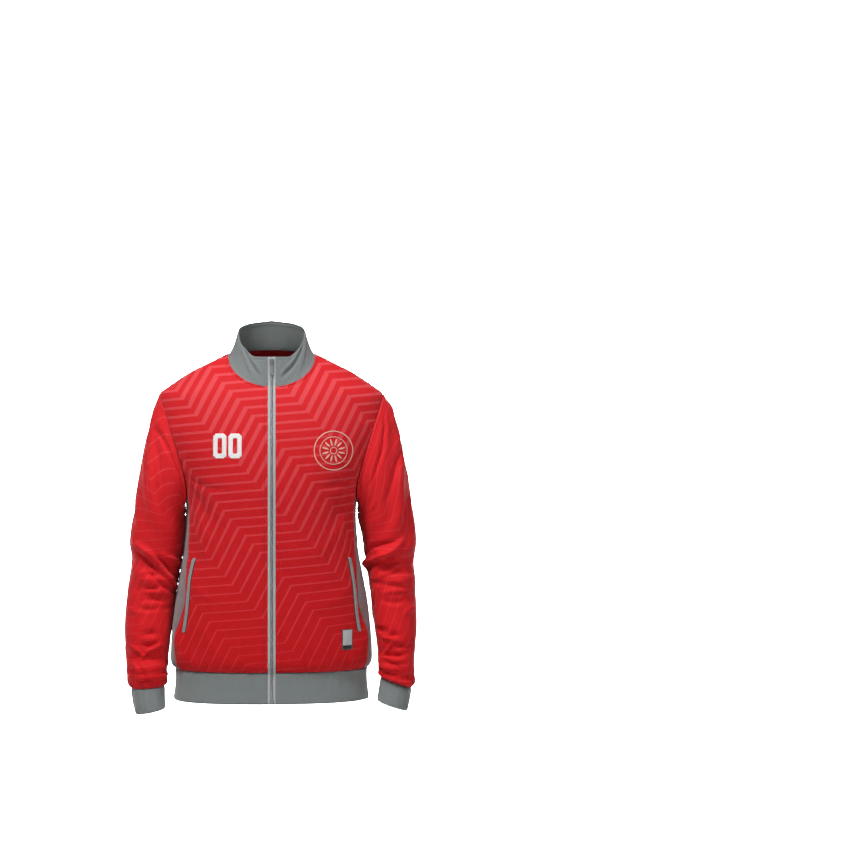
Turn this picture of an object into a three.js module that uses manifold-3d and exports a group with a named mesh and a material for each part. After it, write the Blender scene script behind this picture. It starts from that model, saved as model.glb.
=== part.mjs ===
// A zip-front track jacket as it stands when worn: stand collar, set-in sleeves, side panels,
// welt pockets, and a knitted band and cuffs. Each cut piece is a closed wall of cloth.
// Millimetres, +Z up, +X to the wearer's left, the front towards -Y. The origin is the middle of
// the neck opening, level with the seam points where the collar meets the shoulders.
import * as THREE from "three";
import { mergeVertices } from "three/addons/utils/BufferGeometryUtils.js";
import Module from "manifold-3d";

const wasm = await Module();
wasm.setup();

// Driving dimensions
const BODY_CLOTH = 2;
const RIB_CLOTH = 2.8;
const WELT_CLOTH = 1.4;
const SEAM = 0.4;
const DRAW_BACK = 0.6;

const NECK_HALF_WIDTH = 85;
const NECK_FRONT_DROP = 64;
const NECK_BACK_RISE = 11.4;
const SHOULDER_Z = -76;
const ARMPIT_Z = -285;
const BAND_TOP_Z = -610;
const BAND_BOTTOM_Z = -669;
const ARMHOLE_FRONT_TURN = 31;
const ARMHOLE_BACK_TURN = 29;
const ARMHOLE_ROUNDNESS = 0.7;
const ARMHOLE_SHRINK = 0.006;
const SLEEVE_BLEND = 130;
const SLEEVE_SQUARE = 2.15;

const ZIP_HALF_GAP = 7;
const TAPE_INNER = 2.7;
const TAPE_OUTER = 6.6;
const TAPE_THICK = 1;
const TAPE_RECESS = 0.2;
const CHAIN_HALF = 2.3;
const CHAIN_THICK = 2;
const CHAIN_PROUD = 0.9;
const SLIDER_Z = -17;
const SLIDER_HALF_HEIGHT = 6.5;
const BOX_HEIGHT = 9;

// How finely the cloth is divided
const BODY_ROWS = 14;
const HALF_PANEL_COLUMNS = 9;
const SIDE_COLUMNS = 4;
const ARMHOLE_STEPS = 14;
const FRONT_NECK_STEPS = 6;
const BACK_NECK_STEPS = 5;
const SLEEVE_RINGS = 27;
const CUFF_ROWS = 3;
const BAND_ROWS = 3;
const COLLAR_ROWS = 4;
const ZIP_ROWS = 40;

// Level sections of the body: half-width, depth to the front and back, and squareness of the oval
const BODY_SECTIONS = [
  { z: 12, half: 65, front: 3, back: 60, square: 2.4 },
  { z: 8, half: 75, front: 4, back: 66, square: 2.4 },
  { z: 4, half: 82.5, front: 5, back: 68, square: 2.4 },
  { z: 0, half: 85, front: 8, back: 70, square: 2.4 },
  { z: -10, half: 108, front: 24, back: 76, square: 2.4 },
  { z: -20, half: 129, front: 39, back: 81, square: 2.4 },
  { z: -33, half: 155, front: 55, back: 87, square: 2.4 },
  { z: -45, half: 174, front: 67, back: 93, square: 2.4 },
  { z: -62, half: 199, front: 80, back: 100, square: 2.4 },
  { z: -76, half: 217, front: 88, back: 105, square: 2.4 },
  { z: -100, half: 221, front: 99, back: 111, square: 2.4 },
  { z: -150, half: 214, front: 116, back: 119, square: 2.4 },
  { z: -200, half: 197, front: 126, back: 123, square: 2.4 },
  { z: -250, half: 176, front: 130, back: 122, square: 2.4 },
  { z: -285, half: 166, front: 130, back: 118, square: 2.4 },
  { z: -330, half: 165, front: 129, back: 112, square: 2.4 },
  { z: -380, half: 169, front: 128, back: 107, square: 2.4 },
  { z: -430, half: 178, front: 127, back: 105, square: 2.4 },
  { z: -480, half: 187, front: 127, back: 107, square: 2.4 },
  { z: -530, half: 193, front: 128, back: 112, square: 2.4 },
  { z: -575, half: 196, front: 129, back: 117, square: 2.4 },
  { z: -598, half: 195, front: 128, back: 118, square: 2.4 },
  { z: -610, half: 188, front: 123, back: 114, square: 2.4 },
];

const BAND_SECTIONS = [
  { z: -610, half: 187, front: 122.5, back: 113.5, square: 2.4 },
  { z: -625, half: 186.5, front: 122.5, back: 114, square: 2.4 },
  { z: -650, half: 188, front: 124, back: 115.5, square: 2.4 },
  { z: -669, half: 191, front: 126.5, back: 118, square: 2.4 },
];

// Seams between the fronts or back and the side panels, as distances from the centre
const FRONT_SIDE_SEAM = [
  { z: -330, x: 159.5 },
  { z: -370, x: 161.5 },
  { z: -410, x: 164 },
  { z: -450, x: 166 },
  { z: -482, x: 168 },
  { z: -508, x: 175 },
  { z: -533, x: 182 },
  { z: -560, x: 185 },
  { z: -598, x: 183 },
  { z: -610, x: 177 },
];
const BACK_SIDE_SEAM = [
  { z: -330, x: 159 },
  { z: -370, x: 160 },
  { z: -414, x: 159 },
  { z: -458, x: 160 },
  { z: -488, x: 165 },
  { z: -530, x: 173 },
  { z: -564, x: 175 },
  { z: -598, x: 171 },
  { z: -610, x: 165 },
];

// Sleeve ovals down the arm: outer and inner edge seen from the front, middle and depths of the oval
const SLEEVES = {
  right: [
    { down: 0, outX: 217, outZ: -76, inX: 166, inZ: -285, midY: 0, front: 65, back: 62 },
    { down: 30, outX: 230, outZ: -108, inX: 168, inZ: -291, midY: 0, front: 67, back: 66 },
    { down: 60, outX: 240, outZ: -146, inX: 169, inZ: -297, midY: 1, front: 69, back: 69 },
    { down: 100, outX: 252, outZ: -200, inX: 169.6, inZ: -306, midY: 2, front: 70, back: 71 },
    { down: 140, outX: 262, outZ: -258, inX: 170, inZ: -318, midY: 4, front: 70, back: 71 },
    { down: 180, outX: 270, outZ: -316, inX: 170, inZ: -336, midY: 6, front: 68, back: 70 },
    { down: 215, outX: 276, outZ: -362, inX: 172, inZ: -362, midY: 8, front: 65, back: 68 },
    { down: 258, outX: 273.5, outZ: -408, inX: 178.5, inZ: -406, midY: 9, front: 60, back: 66 },
    { down: 310, outX: 280, outZ: -459, inX: 186.5, inZ: -458, midY: 4, front: 58, back: 60 },
    { down: 380, outX: 285, outZ: -529, inX: 192, inZ: -526, midY: -10, front: 54, back: 54 },
    { down: 430, outX: 282.5, outZ: -577, inX: 198.5, inZ: -576, midY: -20, front: 50, back: 49 },
    { down: 468, outX: 279.5, outZ: -613, inX: 202, inZ: -611, midY: -27, front: 46, back: 45 },
    { down: 492, outX: 277, outZ: -636, inX: 201, inZ: -633, midY: -31, front: 42, back: 41 },
    { down: 502, outX: 271.5, outZ: -646, inX: 205, inZ: -642, midY: -33, front: 37, back: 36 },
  ],
  left: [
    { down: 0, outX: 217, outZ: -76, inX: 166, inZ: -285, midY: 0, front: 65, back: 62 },
    { down: 30, outX: 235, outZ: -104, inX: 168, inZ: -291, midY: 0, front: 67, back: 66 },
    { down: 60, outX: 247, outZ: -142, inX: 169, inZ: -297, midY: 1, front: 69, back: 69 },
    { down: 100, outX: 260, outZ: -198, inX: 169.6, inZ: -306, midY: 2, front: 70, back: 71 },
    { down: 140, outX: 270, outZ: -256, inX: 170, inZ: -316, midY: 4, front: 70, back: 71 },
    { down: 180, outX: 279, outZ: -314, inX: 172, inZ: -332, midY: 6, front: 68, back: 70 },
    { down: 215, outX: 284, outZ: -362, inX: 177, inZ: -356, midY: 8, front: 65, back: 68 },
    { down: 258, outX: 279, outZ: -406, inX: 182, inZ: -398, midY: 8, front: 60, back: 66 },
    { down: 310, outX: 282, outZ: -462, inX: 191.5, inZ: -455, midY: 2, front: 58, back: 60 },
    { down: 380, outX: 283.5, outZ: -532, inX: 199, inZ: -524, midY: -12, front: 54, back: 54 },
    { down: 430, outX: 279, outZ: -580, inX: 205, inZ: -570, midY: -22, front: 50, back: 49 },
    { down: 468, outX: 277, outZ: -616, inX: 206.5, inZ: -602, midY: -29, front: 46, back: 45 },
    { down: 492, outX: 278, outZ: -638, inX: 207.5, inZ: -619, midY: -33, front: 42, back: 41 },
    { down: 502, outX: 272, outZ: -649, inX: 210.5, inZ: -628, midY: -35, front: 37, back: 36 },
  ],
};

const CUFFS = {
  right: [
    { down: 0, outX: 271, outZ: -646, inX: 205.5, inZ: -642, midY: -33, front: 36.5, back: 35.5 },
    { down: 28, outX: 267.5, outZ: -671, inX: 205, inZ: -665, midY: -38, front: 35.5, back: 34.5 },
    { down: 55, outX: 261.5, outZ: -695, inX: 204, inZ: -684, midY: -43, front: 34, back: 33 },
  ],
  left: [
    { down: 0, outX: 271.5, outZ: -649, inX: 211, inZ: -628, midY: -35, front: 36.5, back: 35.5 },
    { down: 28, outX: 268, outZ: -671, inX: 207, inZ: -651, midY: -40, front: 35.5, back: 34.5 },
    { down: 55, outX: 263, outZ: -692, inX: 203.5, inZ: -672, midY: -45, front: 34, back: 33 },
  ],
};

// Largest creases of the sleeves on the unrolled cloth. Round is the part of a turn from the outer
// edge by way of the front, down is along the sleeve, and a height below zero is a trough.
const SLEEVE_FOLDS = {
  right: [
    { round0: 0.13, down0: 45, round1: 0.33, down1: 165, wide: 15, high: -5 },
    { round0: 0.05, down0: 95, round1: 0.2, down1: 215, wide: 17, high: -4.5 },
    { round0: 0.08, down0: 60, round1: 0.27, down1: 180, wide: 16, high: 4 },
    { round0: 0.02, down0: 243, round1: 0.33, down1: 272, wide: 12, high: -6 },
    { round0: 0.1, down0: 262, round1: 0.42, down1: 315, wide: 13, high: 5 },
    { round0: 0.12, down0: 300, round1: 0.36, down1: 330, wide: 10, high: -4 },
    { round0: 0.1, down0: 430, round1: 0.4, down1: 440, wide: 13, high: -4.5 },
    { round0: 0.06, down0: 466, round1: 0.45, down1: 462, wide: 11, high: 5 },
    { round0: 0.62, down0: 240, round1: 0.9, down1: 262, wide: 15, high: 5 },
    { round0: 0.6, down0: 275, round1: 0.85, down1: 300, wide: 14, high: -5 },
    { round0: 0.6, down0: 452, round1: 0.95, down1: 468, wide: 12, high: 5 },
  ],
  left: [
    { round0: 0.1, down0: 40, round1: 0.27, down1: 190, wide: 17, high: -5 },
    { round0: 0.04, down0: 100, round1: 0.17, down1: 225, wide: 16, high: -4.5 },
    { round0: 0.06, down0: 60, round1: 0.22, down1: 200, wide: 16, high: 4 },
    { round0: 0.08, down0: 222, round1: 0.42, down1: 262, wide: 12, high: 6 },
    { round0: 0.1, down0: 250, round1: 0.36, down1: 276, wide: 11, high: -5.5 },
    { round0: 0.03, down0: 285, round1: 0.3, down1: 296, wide: 11, high: 4 },
    { round0: 0.12, down0: 420, round1: 0.38, down1: 438, wide: 13, high: -5 },
    { round0: 0.06, down0: 466, round1: 0.44, down1: 462, wide: 11, high: 5 },
    { round0: 0.62, down0: 236, round1: 0.9, down1: 258, wide: 15, high: 5 },
    { round0: 0.6, down0: 272, round1: 0.88, down1: 296, wide: 14, high: -5 },
    { round0: 0.6, down0: 452, round1: 0.95, down1: 468, wide: 12, high: 5 },
  ],
};

// Largest creases of the body. Turn is in degrees from the centre front, over the wearer's left side.
const BODY_FOLDS = [
  { turn0: 118, z0: -345, turn1: 158, z1: -560, wide: 20, high: 6 },
  { turn0: 132, z0: -340, turn1: 168, z1: -520, wide: 22, high: -5 },
  { turn0: -122, z0: -400, turn1: -150, z1: -540, wide: 20, high: 5 },
  { turn0: -136, z0: -380, turn1: -160, z1: -500, wide: 22, high: -4 },
  { turn0: 112, z0: -130, turn1: 132, z1: -215, wide: 16, high: -4 },
  { turn0: -112, z0: -130, turn1: -130, z1: -210, wide: 16, high: -4 },
  { turn0: -60, z0: -262, turn1: -40, z1: -330, wide: 15, high: -4 },
  { turn0: 60, z0: -262, turn1: 42, z1: -330, wide: 15, high: -4 },
  { turn0: -62, z0: -360, turn1: -50, z1: -405, wide: 12, high: -3.5 },
  { turn0: 70, z0: -520, turn1: 52, z1: -590, wide: 18, high: 4 },
  { turn0: -72, z0: -530, turn1: -50, z1: -592, wide: 18, high: 4 },
];

// Pocket openings and the hem label on the fronts
const WELT_LINE = [
  { down: 0, x: 149.5, z: -393 },
  { down: 0.25, x: 155.5, z: -425 },
  { down: 0.5, x: 160, z: -462 },
  { down: 0.75, x: 163, z: -498 },
  { down: 1, x: 168.5, z: -536 },
];
const WELT_HALF_WIDTH = 2.8;
const WELT_STEPS = 12;
const LABEL = { x: 144.5, z: -549, halfWidth: 10.2, halfHeight: 19.5, thick: 0.6 };

// Height of the collar's top edge at each turn from the centre front
const COLLAR_TOP = [
  { turn: 0, z: -7 },
  { turn: 24, z: -5 },
  { turn: 39, z: 1 },
  { turn: 66, z: 20 },
  { turn: 90, z: 44 },
  { turn: 130, z: 60 },
  { turn: 180, z: 68 },
];
const COLLAR_TOP_OVAL = { halfWidth: 66, front: 72, back: 49 };
const COLLAR_STAND = 0.62;

const { clamp, degToRad, lerp, smoothstep } = THREE.MathUtils;
const SIDES = { left: 1, right: -1 };

// A column's value at a place along a table, on a smooth curve through its rows.
function along(table, key, column, at) {
  const last = table.length - 1;
  const way = Math.sign(table[last][key] - table[0][key]);
  let i = 0;
  while (i < last - 1 && (at - table[i + 1][key]) * way > 0) i += 1;
  const slope = (a, b) => (b[column] - a[column]) / (b[key] - a[key]);
  const [a, b] = [table[i], table[i + 1]];
  const here = slope(a, b);
  const start = i > 0 ? (slope(table[i - 1], a) + here) / 2 : here;
  const end = i + 1 < last ? (here + slope(b, table[i + 2])) / 2 : here;
  const span = b[key] - a[key];
  const f = clamp((at - a[key]) / span, 0, 1);
  const [f2, f3] = [f * f, f * f * f];
  return (
    (2 * f3 - 3 * f2 + 1) * a[column] +
    (f3 - 2 * f2 + f) * span * start +
    (3 * f2 - 2 * f3) * b[column] +
    (f3 - f2) * span * end
  );
}

// One soft crease on unrolled cloth: its height at a place, fading sideways and at its ends.
function crease(across, down, fold) {
  const [dx, dy] = [fold.across1 - fold.across0, fold.down1 - fold.down0];
  const reach = ((across - fold.across0) * dx + (down - fold.down0) * dy) / (dx * dx + dy * dy);
  const f = clamp(reach, 0, 1);
  const away = Math.hypot(across - fold.across0 - f * dx, down - fold.down0 - f * dy);
  const strength = 0.4 + 0.6 * Math.sin(Math.PI * f);
  return fold.high * strength * Math.exp(-((away / fold.wide) ** 2));
}

// The height of a table of creases on cloth unrolled from a tube of a given length round.
function creaseHeight(folds, across, down, round) {
  let sum = 0;
  for (const fold of folds) {
    for (const lap of [-round, 0, round]) sum += crease(across + lap, down, fold);
  }
  return sum;
}

// The point of an oval section at a turn in radians from the centre front.
function ovalPoint(table, turn, z) {
  const [s, c] = [Math.sin(turn), Math.cos(turn)];
  const n = along(table, "z", "square", z);
  const swell = (Math.abs(s) ** n + Math.abs(c) ** n) ** (-1 / n);
  const depth = along(table, "z", c > 0 ? "front" : "back", z);
  return new THREE.Vector3(along(table, "z", "half", z) * swell * s, -depth * swell * c, z);
}

// The turn at which the oval at height z is a given distance from the centre.
function turnAt(table, x, z, back = false) {
  const n = along(table, "z", "square", z);
  const share = Math.min(Math.abs(x) / along(table, "z", "half", z), 1);
  const turn = Math.atan2(share, (1 - share ** n) ** (1 / n));
  return Math.sign(x) * (back ? Math.PI - turn : turn);
}

// The outward normal of a surface given by a function of two numbers.
function normalOf(surface, u, v, du, dv, outwards) {
  const a = surface(u + du, v).sub(surface(u - du, v));
  const b = surface(u, v + dv).sub(surface(u, v - dv));
  const n = a.cross(b).normalize();
  return n.dot(outwards) < 0 ? n.negate() : n;
}

const FOLD_RADIUS = 150;
const FOLD_FREE_TURN = degToRad(9);
const bodyFolds = BODY_FOLDS.map((f) => ({
  across0: degToRad(f.turn0) * FOLD_RADIUS,
  across1: degToRad(f.turn1) * FOLD_RADIUS,
  down0: f.z0,
  down1: f.z1,
  wide: f.wide,
  high: f.high,
}));

function bodyFoldHeight(turn, z) {
  const clearOfZip = smoothstep(Math.abs(turn), FOLD_FREE_TURN, 3 * FOLD_FREE_TURN);
  const clearOfBand = smoothstep(z, BAND_TOP_Z, BAND_TOP_Z + 30);
  const height = creaseHeight(bodyFolds, turn * FOLD_RADIUS, z, 2 * Math.PI * FOLD_RADIUS);
  return clearOfZip * clearOfBand * height;
}

function smoothBody(turn, z) {
  return ovalPoint(BODY_SECTIONS, turn, z);
}

function outOfBody(turn) {
  return new THREE.Vector3(Math.sin(turn), -Math.cos(turn), 0.05);
}

function bodyPoint(turn, z) {
  const out = normalOf(smoothBody, turn, z, 0.01, 1, outOfBody(turn));
  return smoothBody(turn, z).addScaledVector(out, bodyFoldHeight(turn, z));
}

function bodyNormal(turn, z) {
  return normalOf(bodyPoint, turn, z, 0.01, 1, outOfBody(turn));
}

// The armhole on the body: part 0 is the shoulder, 1 the armpit. Shrink moves it into the hole.
function armhole(part, back, shrink = 0) {
  const drop = (1 - Math.cos(Math.PI * part)) / 2;
  const wide = back ? -ARMHOLE_BACK_TURN : ARMHOLE_FRONT_TURN;
  const bow = Math.max(Math.sin(Math.PI * part), 0) ** ARMHOLE_ROUNDNESS;
  const middle = (SHOULDER_Z + ARMPIT_Z) / 2;
  const z = lerp(SHOULDER_Z, ARMPIT_Z, drop);
  return {
    turn: degToRad(90 - wide * bow * (1 - shrink)),
    z: middle + (z - middle) * (1 - shrink),
  };
}

// The neck seam on the body: part 0 is the centre front or back, 1 the shoulder.
function neck(part, back) {
  const arc = (part * Math.PI) / 2;
  const x = NECK_HALF_WIDTH * Math.sin(arc);
  const z = (back ? NECK_BACK_RISE : -NECK_FRONT_DROP) * Math.cos(arc);
  return { turn: turnAt(BODY_SECTIONS, Math.max(x, 0.001), z, back), z };
}

// The places along half of the neck seam where cloth is divided, shared by body and collar.
function neckParts(back) {
  const steps = back ? BACK_NECK_STEPS : FRONT_NECK_STEPS;
  const start = back ? 0 : (Math.asin(ZIP_HALF_GAP / NECK_HALF_WIDTH) * 2) / Math.PI;
  return Array.from({ length: steps + 1 }, (_, i) => lerp(start, 1, i / steps));
}

// Rows of (turn, z) for half a front or back, from the hem to the shoulder seam.
const JUNCTION = ARMHOLE_STEPS - 2;
const JUNCTION_Z = armhole(JUNCTION / ARMHOLE_STEPS, false).z;

function bodyRowZ(row) {
  return lerp(BAND_TOP_Z + SEAM / 2, JUNCTION_Z, row / BODY_ROWS);
}

function sideSeamTurn(z, back) {
  const top = armhole(JUNCTION / ARMHOLE_STEPS, back);
  const table = back ? BACK_SIDE_SEAM : FRONT_SIDE_SEAM;
  const low = turnAt(BODY_SECTIONS, along(table, "z", "x", z), z, back);
  return lerp(low, top.turn, smoothstep(z, table[0].z, JUNCTION_Z));
}

function halfPanelRows(back, centreTurn) {
  const rows = [];
  const inset = (z) => (SEAM / 2 / FOLD_RADIUS) * (back ? 1 : -1);
  for (let row = 0; row < BODY_ROWS; row += 1) {
    const z = bodyRowZ(row);
    rows.push([{ turn: centreTurn(z), z }, { turn: sideSeamTurn(z, back) + inset(z), z }]);
  }
  const parts = neckParts(back);
  const centreSteps = JUNCTION - parts.length + 1;
  const neckStart = neck(parts[0], back);
  for (let step = 0; step <= JUNCTION; step += 1) {
    const arm = armhole((JUNCTION - step) / ARMHOLE_STEPS, back);
    if (step === 0) arm.turn += inset(arm.z);
    const z = lerp(JUNCTION_Z, neckStart.z, Math.min(step / centreSteps, 1));
    const onNeck = step >= centreSteps;
    const edge = onNeck ? neck(parts[step - centreSteps], back) : { turn: centreTurn(z), z };
    rows.push([edge, arm]);
  }
  return rows;
}

// Points and outward normals of cloth rows given by their two ends on the body.
function bodyPatch(rows, columns, side, shoulderInset) {
  const points = rows.map(([from, to], row) =>
    Array.from({ length: columns + 1 }, (_, column) => {
      const f = column / columns;
      const onSeam = row === rows.length - 1 ? shoulderInset : 0;
      const turn = side * (lerp(from.turn, to.turn, f) + onSeam);
      const z = lerp(from.z, to.z, f);
      return { point: bodyPoint(turn, z), normal: bodyNormal(turn, z) };
    }),
  );
  return points;
}

// A closed wall from patches of outer points: each is a grid of { point, normal }. Patches that
// share points are joined. The inner face is drawn back a little from every free edge.
function clothWall(patches, thickness, round = false) {
  const index = new Map();
  const outer = [];
  const cells = [];
  const idOf = (vertex) => {
    const key = vertex.point.toArray().map((v) => Math.round(v * 1000)).join();
    if (!index.has(key)) index.set(key, outer.push(vertex) - 1);
    return index.get(key);
  };
  for (const grid of patches) {
    const ids = grid.map((row) => row.map(idOf));
    const width = round ? ids[0].length : ids[0].length - 1;
    for (let r = 0; r + 1 < ids.length; r += 1) {
      for (let c = 0; c < width; c += 1) {
        const d = (c + 1) % ids[0].length;
        cells.push([ids[r][c], ids[r][d], ids[r + 1][d], ids[r + 1][c]]);
      }
    }
  }
  const faces = cells.flatMap(([a, b, c, d]) => facingOut(outer, [a, b, c, d]));
  const uses = new Map();
  for (const [a, b, c] of faces) {
    for (const [p, q] of [[a, b], [b, c], [c, a]]) uses.set(`${p},${q}`, [p, q]);
  }
  const rim = [...uses.values()].filter(([p, q]) => !uses.has(`${q},${p}`));
  const onRim = new Set(rim.flat());
  const pull = outer.map(() => new THREE.Vector3());
  for (const cell of cells) {
    for (const id of cell.filter((v) => onRim.has(v))) {
      for (const other of cell.filter((v) => !onRim.has(v))) {
        pull[id].add(outer[other].point.clone().sub(outer[id].point));
      }
    }
  }
  const inner = outer.map(({ point, normal }, id) =>
    point
      .clone()
      .addScaledVector(normal, -thickness)
      .addScaledVector(pull[id].normalize(), onRim.has(id) ? DRAW_BACK : 0),
  );
  const count = outer.length;
  const triangles = [
    ...faces,
    ...faces.map(([a, b, c]) => [c + count, b + count, a + count]),
    ...rim.flatMap(([p, q]) => [
      [q, p, p + count],
      [q, p + count, q + count],
    ]),
  ];
  const geometry = new THREE.BufferGeometry();
  const positions = [...outer.map((v) => v.point), ...inner].flatMap((p) => p.toArray());
  geometry.setAttribute("position", new THREE.Float32BufferAttribute(positions, 3));
  geometry.setIndex(triangles.flat());
  geometry.computeVertexNormals();
  return geometry;
}

// The two triangles of a cell, turned so that they face the way its first point's normal does.
function facingOut(outer, [a, b, c, d]) {
  const p = (id) => outer[id].point;
  const across = p(c).clone().sub(p(a));
  const other = p(d).clone().sub(p(b));
  const out = outer[a].normal.clone().add(outer[c].normal);
  return across.cross(other).dot(out) > 0
    ? [[a, b, c], [a, c, d]]
    : [[a, c, b], [a, d, c]];
}

// The fronts, the back and the side panels
const zipEdgeTurn = (table) => (z) => turnAt(table, ZIP_HALF_GAP, z);

function frontPanel(side) {
  const rows = halfPanelRows(false, zipEdgeTurn(BODY_SECTIONS));
  return clothWall([bodyPatch(rows, HALF_PANEL_COLUMNS, side, -0.004)], BODY_CLOTH);
}

function backPanel() {
  const rows = halfPanelRows(true, () => Math.PI);
  const half = (side) => bodyPatch(rows, HALF_PANEL_COLUMNS, side, 0.004);
  return clothWall([half(1), half(-1)], BODY_CLOTH);
}

function sidePanel(side) {
  const inset = SEAM / 2 / FOLD_RADIUS;
  const grid = [];
  const arc = Array.from({ length: SIDE_COLUMNS + 1 }, (_, column) => {
    const back = column > SIDE_COLUMNS / 2;
    const part = (JUNCTION + (back ? SIDE_COLUMNS - column : column)) / ARMHOLE_STEPS;
    return armhole(part, back);
  });
  for (let row = 0; row <= BODY_ROWS; row += 1) {
    const level = bodyRowZ(row);
    const near = (row / BODY_ROWS) ** 4;
    const front = sideSeamTurn(level, false) + inset;
    const back = sideSeamTurn(level, true) - inset;
    grid.push(
      arc.map((top, column) => {
        const turn = lerp(lerp(front, back, column / SIDE_COLUMNS), top.turn, near);
        const edge = column === 0 || column === SIDE_COLUMNS;
        const z = level + (top.z - JUNCTION_Z) * near;
        const t = edge ? (column ? back : front) : turn;
        return { point: bodyPoint(side * t, z), normal: bodyNormal(side * t, z) };
      }),
    );
  }
  return clothWall([grid], BODY_CLOTH);
}

// A sleeve or cuff surface: part of a turn round from the outer edge by way of the front
function ringPoint(table, side, round, down, square = SLEEVE_SQUARE) {
  const at = (column) => along(table, "down", column, down);
  const [c, s] = [Math.cos(2 * Math.PI * round), Math.sin(2 * Math.PI * round)];
  const swell = (Math.abs(s) ** square + Math.abs(c) ** square) ** (-1 / square);
  const depth = s > 0 ? at("front") : at("back");
  return new THREE.Vector3(
    side * ((at("outX") + at("inX")) / 2 + ((at("outX") - at("inX")) / 2) * c * swell),
    at("midY") - depth * s * swell,
    (at("outZ") + at("inZ")) / 2 + ((at("outZ") - at("inZ")) / 2) * c * swell,
  );
}

function armholePoint(side, round, shrink = 0) {
  const back = round > 0.5;
  const { turn, z } = armhole(back ? 2 - 2 * round : 2 * round, back, shrink);
  return bodyPoint(side * turn, z);
}

const SLEEVE_ROUND = 380;

function sleeveFolds(name) {
  return SLEEVE_FOLDS[name].map((f) => ({
    ...f,
    across0: f.round0 * SLEEVE_ROUND,
    across1: f.round1 * SLEEVE_ROUND,
  }));
}

function sleeve(name) {
  const side = SIDES[name];
  const table = SLEEVES[name];
  const length = table[table.length - 1].down;
  const wrap = (round) => ((round % 1) + 1) % 1;
  const plain = (round, down) => {
    const r = wrap(round);
    const keep = 1 - smoothstep(down, 0, SLEEVE_BLEND);
    const miss = armholePoint(side, r).sub(ringPoint(table, side, r, 0));
    return ringPoint(table, side, r, down).addScaledVector(miss, keep);
  };
  const outOf = (round, down) => {
    const middle = ringPoint(table, side, 0.25, down).add(ringPoint(table, side, 0.75, down));
    return plain(round, down).sub(middle.multiplyScalar(0.5));
  };
  const folds = sleeveFolds(name);
  const folded = (round, down) => {
    const out = normalOf(plain, round, down, 0.01, 1.5, outOf(round, down));
    const clearOfSeams = smoothstep(down, 0, 50) * (1 - smoothstep(down, length - 22, length));
    const height = creaseHeight(folds, wrap(round) * SLEEVE_ROUND, down, SLEEVE_ROUND);
    return plain(round, down).addScaledVector(out, clearOfSeams * height);
  };
  const columns = 2 * ARMHOLE_STEPS;
  const grid = [];
  for (let ring = 0; ring <= SLEEVE_RINGS; ring += 1) {
    const down = length * (ring / SLEEVE_RINGS) ** 1.06 - (ring === SLEEVE_RINGS ? SEAM : 0);
    grid.push(
      Array.from({ length: columns }, (_, column) => {
        const round = column / columns;
        const point = ring ? folded(round, down) : armholePoint(side, round, ARMHOLE_SHRINK);
        return { point, normal: normalOf(folded, round, Math.max(down, 2), 0.01, 1.5, outOf(round, down)) };
      }),
    );
  }
  return clothWall([grid], BODY_CLOTH, true);
}

function cuff(name) {
  const side = SIDES[name];
  const table = CUFFS[name];
  const length = table[table.length - 1].down;
  const surface = (round, down) => ringPoint(table, side, round, down);
  const columns = 2 * ARMHOLE_STEPS;
  const grid = Array.from({ length: CUFF_ROWS + 1 }, (_, row) => {
    const down = (length * row) / CUFF_ROWS;
    const middle = surface(0.25, down).add(surface(0.75, down)).multiplyScalar(0.5);
    return Array.from({ length: columns }, (_, column) => {
      const point = surface(column / columns, down);
      const out = point.clone().sub(middle);
      return { point, normal: normalOf(surface, column / columns, down, 0.01, 1, out) };
    });
  });
  return clothWall([grid], RIB_CLOTH, true);
}

// The knitted band, in one strip from zip to zip
function bandTurns() {
  const z = BAND_TOP_Z;
  const half = [];
  const stretch = (from, to, steps) => {
    for (let i = 0; i < steps; i += 1) half.push(lerp(from, to, i / steps));
  };
  stretch(turnAt(BAND_SECTIONS, ZIP_HALF_GAP, z), sideSeamTurn(z, false), HALF_PANEL_COLUMNS);
  stretch(sideSeamTurn(z, false), sideSeamTurn(z, true), SIDE_COLUMNS);
  stretch(sideSeamTurn(z, true), Math.PI, HALF_PANEL_COLUMNS);
  return [...half, Math.PI, ...half.map((turn) => 2 * Math.PI - turn).reverse()];
}

function hemBand() {
  const surface = (turn, z) => ovalPoint(BAND_SECTIONS, turn, z);
  const grid = Array.from({ length: BAND_ROWS + 1 }, (_, row) => {
    const z = lerp(BAND_BOTTOM_Z, BAND_TOP_Z - SEAM / 2, row / BAND_ROWS);
    return bandTurns().map((turn) => ({
      point: surface(turn, z),
      normal: normalOf(surface, turn, z, 0.01, 1, outOfBody(turn)),
    }));
  });
  return clothWall([grid], RIB_CLOTH);
}

// The stand collar, in one strip from zip to zip. Part runs from the centre front to the back.
function collarPoint(side, part, up) {
  const back = part > 0.5;
  const seam = neck(back ? 2 - 2 * part : 2 * part, back);
  const foot = bodyPoint(side * seam.turn, seam.z);
  const turn = part * Math.PI;
  const oval = COLLAR_TOP_OVAL;
  const z = along(COLLAR_TOP, "turn", "z", part * 180);
  const depth = back ? oval.back : oval.front;
  const top = new THREE.Vector3(side * oval.halfWidth * Math.sin(turn), -depth * Math.cos(turn), z);
  const lean = up ** COLLAR_STAND;
  return new THREE.Vector3(lerp(foot.x, top.x, lean), lerp(foot.y, top.y, lean), lerp(foot.z, top.z, up));
}

function collarParts() {
  const front = neckParts(false).map((part) => part / 2);
  const back = neckParts(true).map((part) => 1 - part / 2);
  return [...front, ...back.reverse().slice(1)];
}

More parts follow.
